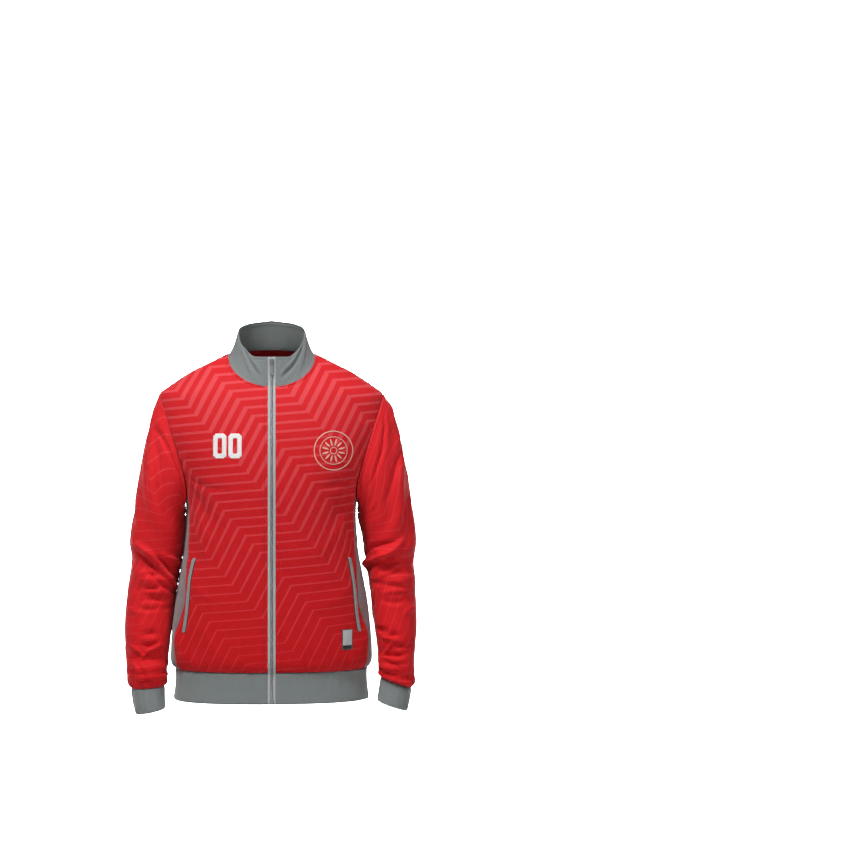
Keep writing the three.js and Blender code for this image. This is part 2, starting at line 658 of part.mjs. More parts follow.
function collar() {
  const patch = (side) => {
    const surface = (part, up) => collarPoint(side, clamp(part, 0, 1), up);
    return Array.from({ length: COLLAR_ROWS + 1 }, (_, row) => {
      const up = row / COLLAR_ROWS;
      return collarParts().map((part, column) => {
        const turn = side * part * Math.PI;
        const near = part > 0.98 ? 0.98 : part;
        const normal = normalOf(surface, near, Math.max(up, 0.05), 0.01, 0.02, outOfBody(turn));
        if (part === 1) normal.setX(0).normalize();
        const point = collarPoint(side, part, up);
        if (column === 0) point.setX(side * ZIP_HALF_GAP);
        if (row === 0) point.z += SEAM;
        return { point, normal };
      });
    });
  };
  return clothWall([patch(1), patch(-1)], RIB_CLOTH);
}

// The zip follows the centre front, from the band's edge to the collar's top.
const COLLAR_TOP_FRONT_Z = along(COLLAR_TOP, "turn", "z", 0);

function centreFront(z) {
  if (z < BAND_TOP_Z) return ovalPoint(BAND_SECTIONS, 0, z);
  if (z < -NECK_FRONT_DROP) return ovalPoint(BODY_SECTIONS, 0, z);
  const up = (z + NECK_FRONT_DROP) / (COLLAR_TOP_FRONT_Z + NECK_FRONT_DROP);
  return collarPoint(1, 0.0001, up).setX(0).setZ(z);
}

function zipFrame(z) {
  const up = centreFront(z + 2).sub(centreFront(z - 2)).normalize();
  const out = new THREE.Vector3(1, 0, 0).cross(up);
  return { middle: centreFront(z), up, out };
}

function zipStrip(x0, x1, z0, z1, proud, thickness) {
  const grid = Array.from({ length: ZIP_ROWS + 1 }, (_, row) => {
    const { middle, out } = zipFrame(lerp(z0, z1, row / ZIP_ROWS));
    return [x0, x1].map((x) => ({
      point: middle.clone().setX(x).addScaledVector(out, proud),
      normal: out,
    }));
  });
  return clothWall([grid], thickness);
}

// Hard pieces, drawn with x across, y up the zip and z out of the cloth
function roundedPlate(halfWidth, low, high, corner, depth, start, hole) {
  const shape = new THREE.Shape();
  shape.moveTo(-halfWidth + corner, low);
  shape.lineTo(halfWidth - corner, low);
  shape.quadraticCurveTo(halfWidth, low, halfWidth, low + corner);
  shape.lineTo(halfWidth, high - corner);
  shape.quadraticCurveTo(halfWidth, high, halfWidth - corner, high);
  shape.lineTo(-halfWidth + corner, high);
  shape.quadraticCurveTo(-halfWidth, high, -halfWidth, high - corner);
  shape.lineTo(-halfWidth, low + corner);
  shape.quadraticCurveTo(-halfWidth, low, -halfWidth + corner, low);
  if (hole) shape.holes.push(hole);
  const geometry = new THREE.ExtrudeGeometry(shape, { depth, bevelEnabled: false, curveSegments: 3 });
  return geometry.translate(0, 0, start);
}

function rectangle(halfWidth, low, high) {
  const path = new THREE.Path();
  path.moveTo(-halfWidth, low);
  path.lineTo(-halfWidth, high);
  path.lineTo(halfWidth, high);
  path.lineTo(halfWidth, low);
  path.closePath();
  return path;
}

function toSolid(geometry) {
  const bare = geometry.clone();
  bare.deleteAttribute("normal");
  bare.deleteAttribute("uv");
  const merged = mergeVertices(bare, 1e-4);
  return new wasm.Manifold(
    new wasm.Mesh({
      numProp: 3,
      vertProperties: merged.attributes.position.array,
      triVerts: new Uint32Array(merged.index.array),
    }),
  );
}

function toGeometry(solid) {
  const mesh = solid.getMesh();
  const geometry = new THREE.BufferGeometry();
  geometry.setAttribute("position", new THREE.BufferAttribute(mesh.vertProperties, 3));
  geometry.setIndex(new THREE.BufferAttribute(mesh.triVerts, 1));
  return geometry;
}

const SLIDER = { halfWidth: 4.4, face: 2.6, start: SEAM, arch: 3.2, archHalfWidth: 1.1, archWall: 1 };
const PULL = { halfWidth: 2.9, length: 26, thick: 1.2, bar: 0.6, windowHalf: 1.6, windowLow: -5.4 };
const PIVOT_OUT = SLIDER.face + 1.15;

function zipSlider() {
  const plate = roundedPlate(
    SLIDER.halfWidth,
    -SLIDER_HALF_HEIGHT,
    SLIDER_HALF_HEIGHT,
    2,
    SLIDER.face - SLIDER.start,
    SLIDER.start,
  );
  const top = PIVOT_OUT + 1.15 + SLIDER.archWall;
  const side = new THREE.Shape();
  const inside = SLIDER.arch - SLIDER.archWall;
  side.moveTo(-SLIDER.arch, SLIDER.face - 1);
  side.lineTo(-SLIDER.arch, top);
  side.lineTo(SLIDER.arch, top);
  side.lineTo(SLIDER.arch, SLIDER.face - 1);
  side.lineTo(inside, SLIDER.face - 1);
  side.lineTo(inside, top - SLIDER.archWall);
  side.lineTo(-inside, top - SLIDER.archWall);
  side.lineTo(-inside, SLIDER.face - 1);
  side.closePath();
  const arch = new THREE.ExtrudeGeometry(side, { depth: 2 * SLIDER.archHalfWidth, bevelEnabled: false });
  const across = new THREE.Matrix4().set(0, 0, 1, 0, 1, 0, 0, 0, 0, 1, 0, 0, 0, 0, 0, 1);
  arch.translate(0, 0, -SLIDER.archHalfWidth).applyMatrix4(across);
  return toGeometry(toSolid(plate).add(toSolid(arch)));
}

function zipPull() {
  const window = rectangle(PULL.windowHalf, PULL.windowLow, -PULL.bar);
  const under = PIVOT_OUT - PULL.thick / 2;
  return roundedPlate(PULL.halfWidth, -PULL.length, PULL.bar, 1.1, PULL.thick, under, window);
}

function zipBox() {
  return roundedPlate(4, -BOX_HEIGHT / 2, BOX_HEIGHT / 2, 1, 2.2, SEAM);
}

// Pocket welts and the label, made from the front's own points moved out
function onFront(side, x, z, lift) {
  const turn = side * turnAt(BODY_SECTIONS, x, z);
  return bodyPoint(turn, z).addScaledVector(bodyNormal(turn, z), lift);
}

function patchOnFront(side, places, thickness) {
  const grid = places.map((row) =>
    row.map(({ x, z }) => ({
      point: onFront(side, x, z, SEAM + thickness),
      normal: bodyNormal(side * turnAt(BODY_SECTIONS, x, z), z),
    })),
  );
  return clothWall([grid], thickness);
}

function pocketWelt(side) {
  const places = Array.from({ length: WELT_STEPS + 1 }, (_, step) => {
    const at = (column) => along(WELT_LINE, "down", column, step / WELT_STEPS);
    return [-1, 0, 1].map((k) => ({ x: at("x") + k * WELT_HALF_WIDTH, z: at("z") - k * 0.8 }));
  });
  return patchOnFront(side, places, WELT_CLOTH);
}

function hemLabel() {
  const steps = [-1, -0.5, 0, 0.5, 1];
  const places = steps.map((v) =>
    [-1, 0, 1].map((u) => ({
      x: LABEL.x + u * LABEL.halfWidth,
      z: LABEL.z + v * LABEL.halfHeight,
    })),
  );
  return patchOnFront(1, places, LABEL.thick);
}

// Materials
function material(color, roughness, metalness = 0) {
  return new THREE.MeshStandardMaterial({ color, roughness, metalness });
}

const RED_KNIT = material("#c8202a", 0.75);
const GREY_RIB = material("#7d8181", 0.85);
const GREY_PANEL = material("#857f82", 0.8);
const ZIP_TAPE = material("#b4b8b8", 0.7);
const ZIP_METAL = material("#9a9c9c", 0.35, 0.9);
const LABEL_SATIN = material("#b9bcbc", 0.5);

const jacket = new THREE.Group();

function add(name, geometry, finish) {
  const mesh = new THREE.Mesh(geometry, finish);
  mesh.name = name;
  jacket.add(mesh);
  return mesh;
}

for (const [name, side] of Object.entries(SIDES)) {
  add(`front_${name}`, frontPanel(side), RED_KNIT);
  add(`side_panel_${name}`, sidePanel(side), GREY_PANEL);
  add(`sleeve_${name}`, sleeve(name), RED_KNIT);
  add(`cuff_${name}`, cuff(name), GREY_RIB);
  add(`pocket_welt_${name}`, pocketWelt(side), GREY_RIB);
}
add("back", backPanel(), RED_KNIT);
add("hem_band", hemBand(), GREY_RIB);
add("collar", collar(), GREY_RIB);
add("hem_label", hemLabel(), LABEL_SATIN);

const CHAIN_TOP_Z = SLIDER_Z - SLIDER_HALF_HEIGHT - SEAM;
const CHAIN_BOTTOM_Z = BAND_BOTTOM_Z + BOX_HEIGHT + SEAM;
for (const [name, side] of Object.entries(SIDES)) {
  const tape = zipStrip(
    side * TAPE_INNER,
    side * TAPE_OUTER,
    BAND_BOTTOM_Z,
    COLLAR_TOP_FRONT_Z,
    -TAPE_RECESS,
    TAPE_THICK,
  );
  add(`zip_tape_${name}`, tape, ZIP_TAPE);
}
const chain = zipStrip(-CHAIN_HALF, CHAIN_HALF, CHAIN_BOTTOM_Z, CHAIN_TOP_Z, CHAIN_PROUD, CHAIN_THICK);
add("zip_chain", chain, ZIP_METAL);

function placeOnZip(mesh, z) {
  const { middle, up, out } = zipFrame(z);
  const basis = new THREE.Matrix4().makeBasis(new THREE.Vector3(1, 0, 0), up, out);
  mesh.setRotationFromMatrix(basis);
  mesh.position.copy(middle);
}

placeOnZip(add("zip_slider", zipSlider(), ZIP_METAL), SLIDER_Z);
placeOnZip(add("zip_pull", zipPull(), ZIP_METAL), SLIDER_Z);
placeOnZip(add("zip_box", zipBox(), ZIP_METAL), BAND_BOTTOM_Z + BOX_HEIGHT / 2);

export default jacket;
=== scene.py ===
"""The looks of the zip-front track jacket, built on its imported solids.

Every cloth piece is a thin shell on the form of its own solid, worked out from the same tables, with
the soft creases, rolled seam edges and puckers that the solids leave out. Sizes are in millimetres
and become metres where a mesh is made.
"""

import math

import bpy
import numpy as np
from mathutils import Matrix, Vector


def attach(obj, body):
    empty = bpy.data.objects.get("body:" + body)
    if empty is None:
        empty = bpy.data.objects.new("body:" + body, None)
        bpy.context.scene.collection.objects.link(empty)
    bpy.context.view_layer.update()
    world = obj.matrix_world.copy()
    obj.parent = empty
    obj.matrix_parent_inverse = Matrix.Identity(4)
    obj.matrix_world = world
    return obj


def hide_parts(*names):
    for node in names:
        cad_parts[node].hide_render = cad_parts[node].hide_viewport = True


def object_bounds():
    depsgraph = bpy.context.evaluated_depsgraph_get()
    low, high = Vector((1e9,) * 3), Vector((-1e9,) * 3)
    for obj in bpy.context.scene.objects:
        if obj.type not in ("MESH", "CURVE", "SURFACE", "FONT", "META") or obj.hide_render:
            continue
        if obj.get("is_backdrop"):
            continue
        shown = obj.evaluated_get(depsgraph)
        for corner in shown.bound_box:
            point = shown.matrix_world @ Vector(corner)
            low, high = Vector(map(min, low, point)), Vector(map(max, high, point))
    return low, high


bl_info = {
    "name": "Track Jacket",
    "version": (1, 0, 0),
    "blender": (4, 5, 0),
    "location": "View3D > Sidebar > Jacket",
    "description": "Dresses the packed track jacket in knit, prints, sewing and a zip",
    "category": "Object",
}

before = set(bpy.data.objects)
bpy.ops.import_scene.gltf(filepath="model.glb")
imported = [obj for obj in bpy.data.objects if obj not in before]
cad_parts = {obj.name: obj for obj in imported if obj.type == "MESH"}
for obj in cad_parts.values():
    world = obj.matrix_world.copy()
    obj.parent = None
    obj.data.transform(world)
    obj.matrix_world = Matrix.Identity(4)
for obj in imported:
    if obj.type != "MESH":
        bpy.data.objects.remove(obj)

MM = 0.001
SIDES = {"left": 1, "right": -1}
JACKET_BODY = "jacket"
PULL_BODY = "pull_tab"


def rows(columns, *lines):
    """A table of named columns, made from its rows."""
    return dict(zip(columns.split(), np.array(lines, float).T))


# The cut, as in the solids
SEAM = 0.1
NECK_HALF_WIDTH = 85
NECK_FRONT_DROP = 64
NECK_BACK_RISE = 11.4
SHOULDER_Z = -76
ARMPIT_Z = -285
BAND_TOP_Z = -610
BAND_BOTTOM_Z = -669
ARMHOLE_FRONT_TURN = 31
ARMHOLE_BACK_TURN = 29
ARMHOLE_ROUNDNESS = 0.7
ARMHOLE_STEPS = 14
JUNCTION = 12
NECK_STEPS = {False: 6, True: 5}
SLEEVE_BLEND = 130
SLEEVE_SQUARE = 2.15
SLEEVE_ROUND = 380
BODY_SQUARE = 2.4
FOLD_RADIUS = 150
ZIP_HALF_GAP = 7
SLIDER_Z = -17
BOX_HEIGHT = 9

BODY_SECTIONS = rows(
    "z half front back",
    (12, 65, 3, 60),
    (8, 75, 4, 66),
    (4, 82.5, 5, 68),
    (0, 85, 8, 70),
    (-10, 108, 24, 76),
    (-20, 129, 39, 81),
    (-33, 155, 55, 87),
    (-45, 174, 67, 93),
    (-62, 199, 80, 100),
    (-76, 217, 88, 105),
    (-100, 221, 99, 111),
    (-150, 214, 116, 119),
    (-200, 197, 126, 123),
    (-250, 176, 130, 122),
    (-285, 166, 130, 118),
    (-330, 165, 129, 112),
    (-380, 169, 128, 107),
    (-430, 178, 127, 105),
    (-480, 187, 127, 107),
    (-530, 193, 128, 112),
    (-575, 196, 129, 117),
    (-598, 195, 128, 118),
    (-610, 188, 123, 114),
)
BAND_SECTIONS = rows(
    "z half front back",
    (-610, 187, 122.5, 113.5),
    (-625, 186.5, 122.5, 114),
    (-650, 188, 124, 115.5),
    (-669, 191, 126.5, 118),
)
SIDE_SEAMS = {
    False: rows(
        "z x",
        (-330, 159.5),
        (-370, 161.5),
        (-410, 164),
        (-450, 166),
        (-482, 168),
        (-508, 175),
        (-533, 182),
        (-560, 185),
        (-598, 183),
        (-610, 177),
    ),
    True: rows(
        "z x",
        (-330, 159),
        (-370, 160),
        (-414, 159),
        (-458, 160),
        (-488, 165),
        (-530, 173),
        (-564, 175),
        (-598, 171),
        (-610, 165),
    ),
}
SLEEVE_COLUMNS = "down outX outZ inX inZ midY front back"
SLEEVES = {
    "right": rows(
        SLEEVE_COLUMNS,
        (0, 217, -76, 166, -285, 0, 65, 62),
        (30, 230, -108, 168, -291, 0, 67, 66),
        (60, 240, -146, 169, -297, 1, 69, 69),
        (100, 252, -200, 169.6, -306, 2, 70, 71),
        (140, 262, -258, 170, -318, 4, 70, 71),
        (180, 270, -316, 170, -336, 6, 68, 70),
        (215, 276, -362, 172, -362, 8, 65, 68),
        (258, 273.5, -408, 178.5, -406, 9, 60, 66),
        (310, 280, -459, 186.5, -458, 4, 58, 60),
        (380, 285, -529, 192, -526, -10, 54, 54),
        (430, 282.5, -577, 198.5, -576, -20, 50, 49),
        (468, 279.5, -613, 202, -611, -27, 46, 45),
        (492, 277, -636, 201, -633, -31, 42, 41),
        (502, 271.5, -646, 205, -642, -33, 37, 36),
    ),
    "left": rows(
        SLEEVE_COLUMNS,
        (0, 217, -76, 166, -285, 0, 65, 62),
        (30, 235, -104, 168, -291, 0, 67, 66),
        (60, 247, -142, 169, -297, 1, 69, 69),
        (100, 260, -198, 169.6, -306, 2, 70, 71),
        (140, 270, -256, 170, -316, 4, 70, 71),
        (180, 279, -314, 172, -332, 6, 68, 70),
        (215, 284, -362, 177, -356, 8, 65, 68),
        (258, 279, -406, 182, -398, 8, 60, 66),
        (310, 282, -462, 191.5, -455, 2, 58, 60),
        (380, 283.5, -532, 199, -524, -12, 54, 54),
        (430, 279, -580, 205, -570, -22, 50, 49),
        (468, 277, -616, 206.5, -602, -29, 46, 45),
        (492, 278, -638, 207.5, -619, -33, 42, 41),
        (502, 272, -649, 210.5, -628, -35, 37, 36),
    ),
}
CUFFS = {
    "right": rows(
        SLEEVE_COLUMNS,
        (0, 271, -646, 205.5, -642, -33, 36.5, 35.5),
        (28, 267.5, -671, 205, -665, -38, 35.5, 34.5),
        (55, 261.5, -695, 204, -684, -43, 34, 33),
    ),
    "left": rows(
        SLEEVE_COLUMNS,
        (0, 271.5, -649, 211, -628, -35, 36.5, 35.5),
        (28, 268, -671, 207, -651, -40, 35.5, 34.5),
        (55, 263, -692, 203.5, -672, -45, 34, 33),
    ),
}
COLLAR_TOP = rows(
    "turn z", (0, -7), (22, -6.5), (34, -5), (42, 1), (54, 11), (66, 20), (90, 44), (130, 60), (180, 68)
)
COLLAR_HALF_WIDTH, COLLAR_FRONT, COLLAR_BACK = 66, 72, 49
COLLAR_STAND = 0.62
COLLAR_LENGTH, COLLAR_HEIGHT = 220, 58
WELT_LINE = rows(
    "down x z",
    (0, 149.5, -393),
    (0.25, 155.5, -425),
    (0.5, 160, -462),
    (0.75, 163, -498),
    (1, 168.5, -536),
)
LABEL_X, LABEL_Z, LABEL_HALF_WIDTH, LABEL_HALF_HEIGHT = 144.5, -549, 10.2, 19.5
LABEL_BORDER = 1.3

# Large folds, as in the solids. Round is the part of a turn from a sleeve's outer edge by way of
# the front, down is along the sleeve, turn is in degrees from the centre front over the left side.
SLEEVE_FOLD_COLUMNS = "round0 down0 round1 down1 wide high"
SLEEVE_FOLDS = {
    "right": rows(
        SLEEVE_FOLD_COLUMNS,
        (0.13, 45, 0.33, 165, 15, -5),
        (0.05, 95, 0.2, 215, 17, -4.5),
        (0.08, 60, 0.27, 180, 16, 4),
        (0.02, 243, 0.33, 272, 12, -6),
        (0.1, 262, 0.42, 315, 13, 5),
        (0.12, 300, 0.36, 330, 10, -4),
        (0.1, 430, 0.4, 440, 13, -4.5),
        (0.06, 466, 0.45, 462, 11, 5),
        (0.62, 240, 0.9, 262, 15, 5),
        (0.6, 275, 0.85, 300, 14, -5),
        (0.6, 452, 0.95, 468, 12, 5),
    ),
    "left": rows(
        SLEEVE_FOLD_COLUMNS,
        (0.1, 40, 0.27, 190, 17, -5),
        (0.04, 100, 0.17, 225, 16, -4.5),
        (0.06, 60, 0.22, 200, 16, 4),
        (0.08, 222, 0.42, 262, 12, 6),
        (0.1, 250, 0.36, 276, 11, -5.5),
        (0.03, 285, 0.3, 296, 11, 4),
        (0.12, 420, 0.38, 438, 13, -5),
        (0.06, 466, 0.44, 462, 11, 5),
        (0.62, 236, 0.9, 258, 15, 5),
        (0.6, 272, 0.88, 296, 14, -5),
        (0.6, 452, 0.95, 468, 12, 5),
    ),
}
BODY_FOLDS = rows(
    "turn0 z0 turn1 z1 wide high",
    (118, -345, 158, -560, 20, 6),
    (132, -340, 168, -520, 22, -5),
    (-122, -400, -150, -540, 20, 5),
    (-136, -380, -160, -500, 22, -4),
    (112, -130, 132, -215, 16, -4),
    (-112, -130, -130, -210, 16, -4),
    (-60, -262, -40, -330, 15, -4),
    (60, -262, 42, -330, 15, -4),
    (-62, -360, -50, -405, 12, -3.5),
    (70, -520, 52, -590, 18, 4),
    (-72, -530, -50, -592, 18, 4),
)

# Finer creases, placed from the photograph and freely where it doesn't look. Bow is how far the middle of a
# crease swings to one side.
SLEEVE_CREASE_COLUMNS = "round0 down0 round1 down1 wide high bow"
SLEEVE_CREASES = {
    "right": rows(
        SLEEVE_CREASE_COLUMNS,
        (0.12, 44, 0.33, 28, 7, -2.4, 6),
        (0.09, 64, 0.21, 152, 8, -2.2, -8),
        (0.16, 70, 0.27, 138, 7, 1.5, 5),
        (0.1, 216, 0.3, 262, 6, 3.6, 5),
        (0.26, 254, 0.5, 308, 6, 3.6, -5),
        (0.08, 232, 0.28, 274, 5, -2.8, 5),
        (0.27, 246, 0.41, 282, 7, -3.4, 4),
        (0.33, 246, 0.48, 264, 5, 3, 3),
        (0.2, 266, 0.46, 320, 5, -3, -6),
        (0.17, 280, 0.33, 281, 5, -2, 3),
        (0.18, 300, 0.34, 301, 5, -2, -3),
        (0.18, 313, 0.33, 316, 5, 1.8, 3),
        (0.19, 328, 0.35, 329, 5, -1.9, 3),
        (0.19, 342, 0.33, 341, 5, -1.6, -3),
        (0.05, 330, 0.2, 352, 7, 1.6, -5),
        (0.22, 393, 0.32, 393, 8, -2.8, 2),
        (0.21, 412, 0.32, 412, 7, -3, -2),
        (0.12, 416, 0.24, 438, 5, 2.8, 4),
        (0.22, 438, 0.37, 414, 5, 2.8, 5),
        (0.12, 446, 0.21, 468, 5, 2.2, 3),
        (0.08, 460, 0.18, 482, 5, -2.2, 3),
        (0.12, 476, 0.49, 476, 6, 2.6, -5),
        (0.5, 40, 0.5, 340, 24, 1.5, 0),
        (0.5, 50, 0.5, 125, 18, 0.45, 0),
        (0.5, 262, 0.5, 300, 14, 0.4, 0),
        (0.5, 46, 0.5, 64, 10, 0.4, 0),
        (0.5, 244, 0.5, 256, 9, 0.35, 0),
        (0.5, 290, 0.5, 303, 9, 0.5, 0),
        (0.2, 488, 0.4, 484, 4, -2, 3),
        (0.65, 240, 0.51, 272, 7, -3, 5),
        (0.68, 262, 0.86, 236, 7, 2.2, 6),
        (0.58, 300, 0.72, 330, 8, -2.4, -6),
        (0.91, 456, 0.76, 500, 7, -2.6, 6),
        (0.6, 470, 0.8, 484, 6, 2.4, -4),
    ),
    "left": rows(
        SLEEVE_CREASE_COLUMNS,
        (0.13, 20, 0.3, 68, 7, -2.4, -6),
        (0.01, 76, 0.23, 132, 8, -2.4, 8),
        (0.05, 152, 0.16, 188, 7, -2, 5),
        (0.17, 212, 0.37, 262, 6, 4, -4),
        (0.35, 260, 0.51, 274, 5, 3.4, 3),
        (0.24, 250, 0.49, 287, 5.5, -3.6, 5),
        (0.24, 220, 0.45, 254, 6, -3, 5),
        (0.31, 251, 0.18, 254, 4, 2.4, 3),
        (0.17, 257, 0.34, 286, 4.5, 2.4, -4),
        (0.12, 276, 0.3, 281, 5, -2, 3),
        (0.13, 296, 0.32, 300, 5, -2, -3),
        (0.14, 311, 0.32, 316, 5, 1.8, 3),
        (0.16, 326, 0.34, 331, 6, -2, -4),
        (0.06, 340, 0.2, 356, 7, 1.6, 5),
        (0.43, 391, 0.33, 388, 8, -2.8, 2),
        (0.31, 400, 0.23, 396, 7, -2.8, -2),
        (0.28, 417, 0.18, 416, 7, -2.6, 2),
        (0.36, 441, 0.15, 431, 6, -2.8, 4),
        (0.39, 403, 0.27, 405, 4.5, 2.2, 2),
        (0.28, 406, 0.38, 441, 4.5, 2.3, -3),
        (0.37, 447, 0.19, 446, 4.5, 2.6, 3),
        (0.38, 458, 0.23, 466, 6, -2.2, -5),
        (0.49, 492, 0.05, 492, 6, 2.4, 4),
        (0.5, 60, 0.5, 185, 24, 1.3, 0),
        (0.26, 476, 0.44, 474, 5, 2, 4),
        (0.51, 256, 0.66, 280, 7, -3, 5),
        (0.68, 250, 0.84, 228, 7, 2.2, 6),
        (0.56, 304, 0.74, 322, 8, -2.4, -6),
        (0.95, 460, 0.81, 476, 7, -2.6, 6),
        (0.58, 474, 0.78, 488, 6, 2.4, -4),
    ),
}
BODY_CREASES = rows(
    "turn0 z0 turn1 z1 wide high bow",
    (138, -100, 116, -150, 9, -3, 6),
    (-138, -102, -116, -152, 9, -3, -6),
    (-60, -240, -30, -262, 8, -2.4, 5),
    (57, -236, 30, -258, 8, -2.2, -5),
    (-64, -280, -52, -380, 9, -2.2, 6),
    (63, -286, 51, -372, 9, -2, -6),
    (-75, -363, -65, -396, 6, -2.2, 2),
    (74, -352, 66, -392, 7, -1.8, -2),
    (-58, -430, -34, -470, 12, 1.6, 6),
    (54, -440, 28, -486, 12, 1.5, -6),
    (-40, -520, -24, -596, 9, 1.5, 4),
    (-14, -530, -20, -600, 8, 1.1, 3),
    (22, -526, 30, -598, 9, 1.4, -4),
    (48, -546, 44, -602, 7, -1.4, 3),
    (-62, -560, -58, -604, 7, -1.4, 3),
    (122, -300, 150, -330, 12, -2.6, 6),
    (-120, -306, -148, -340, 12, -2.6, -6),
    (110, -470, 128, -580, 10, 2, 7),
    (-112, -476, -130, -586, 10, 2, -7),
    (152, -545, 149, -604, 8, -1.8, 3),
    (170, -540, 172, -604, 9, 1.6, -3),
    (-158, -550, -160, -604, 8, -1.8, 3),
    (-174, -530, -178, -596, 9, 1.4, 3),
    (100, -330, 104, -470, 9, -2, 6),
    (-98, -340, -104, -480, 9, -2, -6),
    (40, -92, 60, -130, 14, -1.8, 6),
    (-42, -96, -62, -136, 14, -1.8, -6),
    (-90, -265, -90, -440, 26, 2.6, 0),
)
# Part goes round the collar from the zip over one side (1 is the centre back) and on to 2.
COLLAR_CREASES = rows(
    "part0 up0 part1 up1 wide high bow",
    (1.695, 1, 1.89, 0.35, 5, -4.8, -4),
    (1.73, 0.98, 1.92, 0.34, 4.5, 3, -4),
    (1.66, 0.9, 1.84, 0.2, 5, 1.8, -5),
    (0.4, 1, 0.06, 0.18, 5.5, -4.8, 5),
    (0.345, 0.98, 0.09, 0.44, 4.5, 3, 5),
    (0.43, 0.8, 0.2, 0.08, 6, 1.6, 4),
    (0.62, 0.9, 0.7, 0.1, 9, -1.2, 3),
    (1.34, 0.95, 1.3, 0.15, 9, -1.2, 3),
    (1.02, 0.9, 0.97, 0.2, 11, 0.9, 3),
)


def lerp(a, b, f):
    """The value part f of the way from a to b."""
    return a + (b - a) * f


def smoothstep(x, low, high):
    """0 below low, 1 above high, and a smooth rise between."""
    f = np.clip((x - low) / (high - low), 0, 1)
    return f * f * (3 - 2 * f)


def unit(vectors):
    """Vectors made one long."""
    return vectors / np.maximum(np.linalg.norm(vectors, axis=-1, keepdims=True), 1e-12)


def along(table, key, column, at):
    """A column's value at a place along a table, on a smooth curve through its rows."""
    place, value = table[key], table[column]
    if place[0] > place[-1]:
        place, value = place[::-1], value[::-1]
    grade = np.diff(value) / np.diff(place)
    slope = np.concatenate([grade[:1], (grade[:-1] + grade[1:]) / 2, grade[-1:]])
    i = np.clip(np.searchsorted(place, at, side="right") - 1, 0, len(place) - 2)
    span = place[i + 1] - place[i]
    f = np.clip((at - place[i]) / span, 0, 1)
    f2, f3 = f * f, f * f * f
    start = (2 * f3 - 3 * f2 + 1) * value[i] + (f3 - 2 * f2 + f) * span * slope[i]
    return start + (3 * f2 - 2 * f3) * value[i + 1] + (f3 - f2) * span * slope[i + 1]


def normal_of(surface, u, v, du, dv, out):
    """The outward normal of a surface given by a function of two numbers."""
    across = surface(u + du, v) - surface(u - du, v)
    up = surface(u, v + dv) - surface(u, v - dv)
    n = unit(np.cross(across, up))
    return np.where(np.sum(n * out, -1, keepdims=True) < 0, -n, n)


def segments(table, across, down, scale):
    """Rows of a fold table as (x0, y0, x1, y1, wide, high, bow) on unrolled cloth."""
    x0, x1 = table[across + "0"] * scale, table[across + "1"] * scale
    bow = table.get("bow", np.zeros(len(x0)))
    return np.stack([x0, table[down + "0"], x1, table[down + "1"], table["wide"], table["high"], bow], 1)


def near_laps(x, ends, reach, lap):
    """The shifts by a whole turn of the cloth that bring x near a fold."""
    low, high = min(ends) - reach, max(ends) + reach
    return [s for s in (-lap, 0, lap) if np.max(x) + s > low and np.min(x) + s < high]


def fold_height(folds, x, y, lap):
    """Height of the solids' large folds on unrolled cloth."""
    total = np.zeros(np.broadcast(x, y).shape)
    for x0, y0, x1, y1, wide, high, _ in folds:
        dx, dy = x1 - x0, y1 - y0
        for shift in near_laps(x, (x0, x1), 3 * wide, lap):
            reach = ((x + shift - x0) * dx + (y - y0) * dy) / (dx * dx + dy * dy)
            f = np.clip(reach, 0, 1)
            away = np.hypot(x + shift - x0 - f * dx, y - y0 - f * dy)
            total += high * (0.4 + 0.6 * np.sin(np.pi * f)) * np.exp(-((away / wide) ** 2))
    return total


def crease_height(creases, x, y, lap):
    """Height of fine creases: a tight line with softer flanks that rise the other way."""
    total = np.zeros(np.broadcast(x, y).shape)
    for x0, y0, x1, y1, wide, high, bow in creases:
        length = math.hypot(x1 - x0, y1 - y0)
        ex, ey = (x1 - x0) / length, (y1 - y0) / length
        for shift in near_laps(x, (x0, x1), 5 * wide + abs(bow), lap):
            way = (x + shift - x0) * ex + (y - y0) * ey
            f = np.clip(way / length, 0, 1)
            past = np.maximum(np.maximum(-way, way - length), 0) / (0.8 * wide)
            swing = bow * np.sin(np.pi * f)
            off = ((x + shift - x0) * ey - (y - y0) * ex - swing) / (wide * (0.7 + 0.3 * np.sin(np.pi * f)))
            core = np.exp(-((off**2 + past**2) ** 0.85))
            flank = np.exp(-((off / 2.1) ** 2 + past**2))
            total += high * (0.35 + 0.65 * np.sin(np.pi * f)) * (core - 0.35 * flank)
    return total


def rumples(seed, count, x_range, y_range, angle, length, wide, high):
    """Small creases strewn over a zone, always the same ones for a seed."""
    rng = np.random.default_rng(seed)
    x, y = rng.uniform(*x_range, count), rng.uniform(*y_range, count)
    way = np.radians(rng.normal(angle, 22, count))
    half = rng.uniform(0.6, 1.3, count) * length / 2
    widths = wide * rng.uniform(0.7, 1.35, count)
    heights = high * rng.uniform(0.4, 1.1, count) * rng.choice([-1.15, 0.85], count)
    dx, dy = np.cos(way) * half, np.sin(way) * half
    return np.stack([x - dx, y - dy, x + dx, y + dy, widths, heights, rng.uniform(-5, 5, count)], 1)


def ripple(x, *waves):
    """A sum of waves, each (share, length, phase)."""
    return sum(share * np.sin(2 * np.pi * x / length + phase) for share, length, phase in waves)


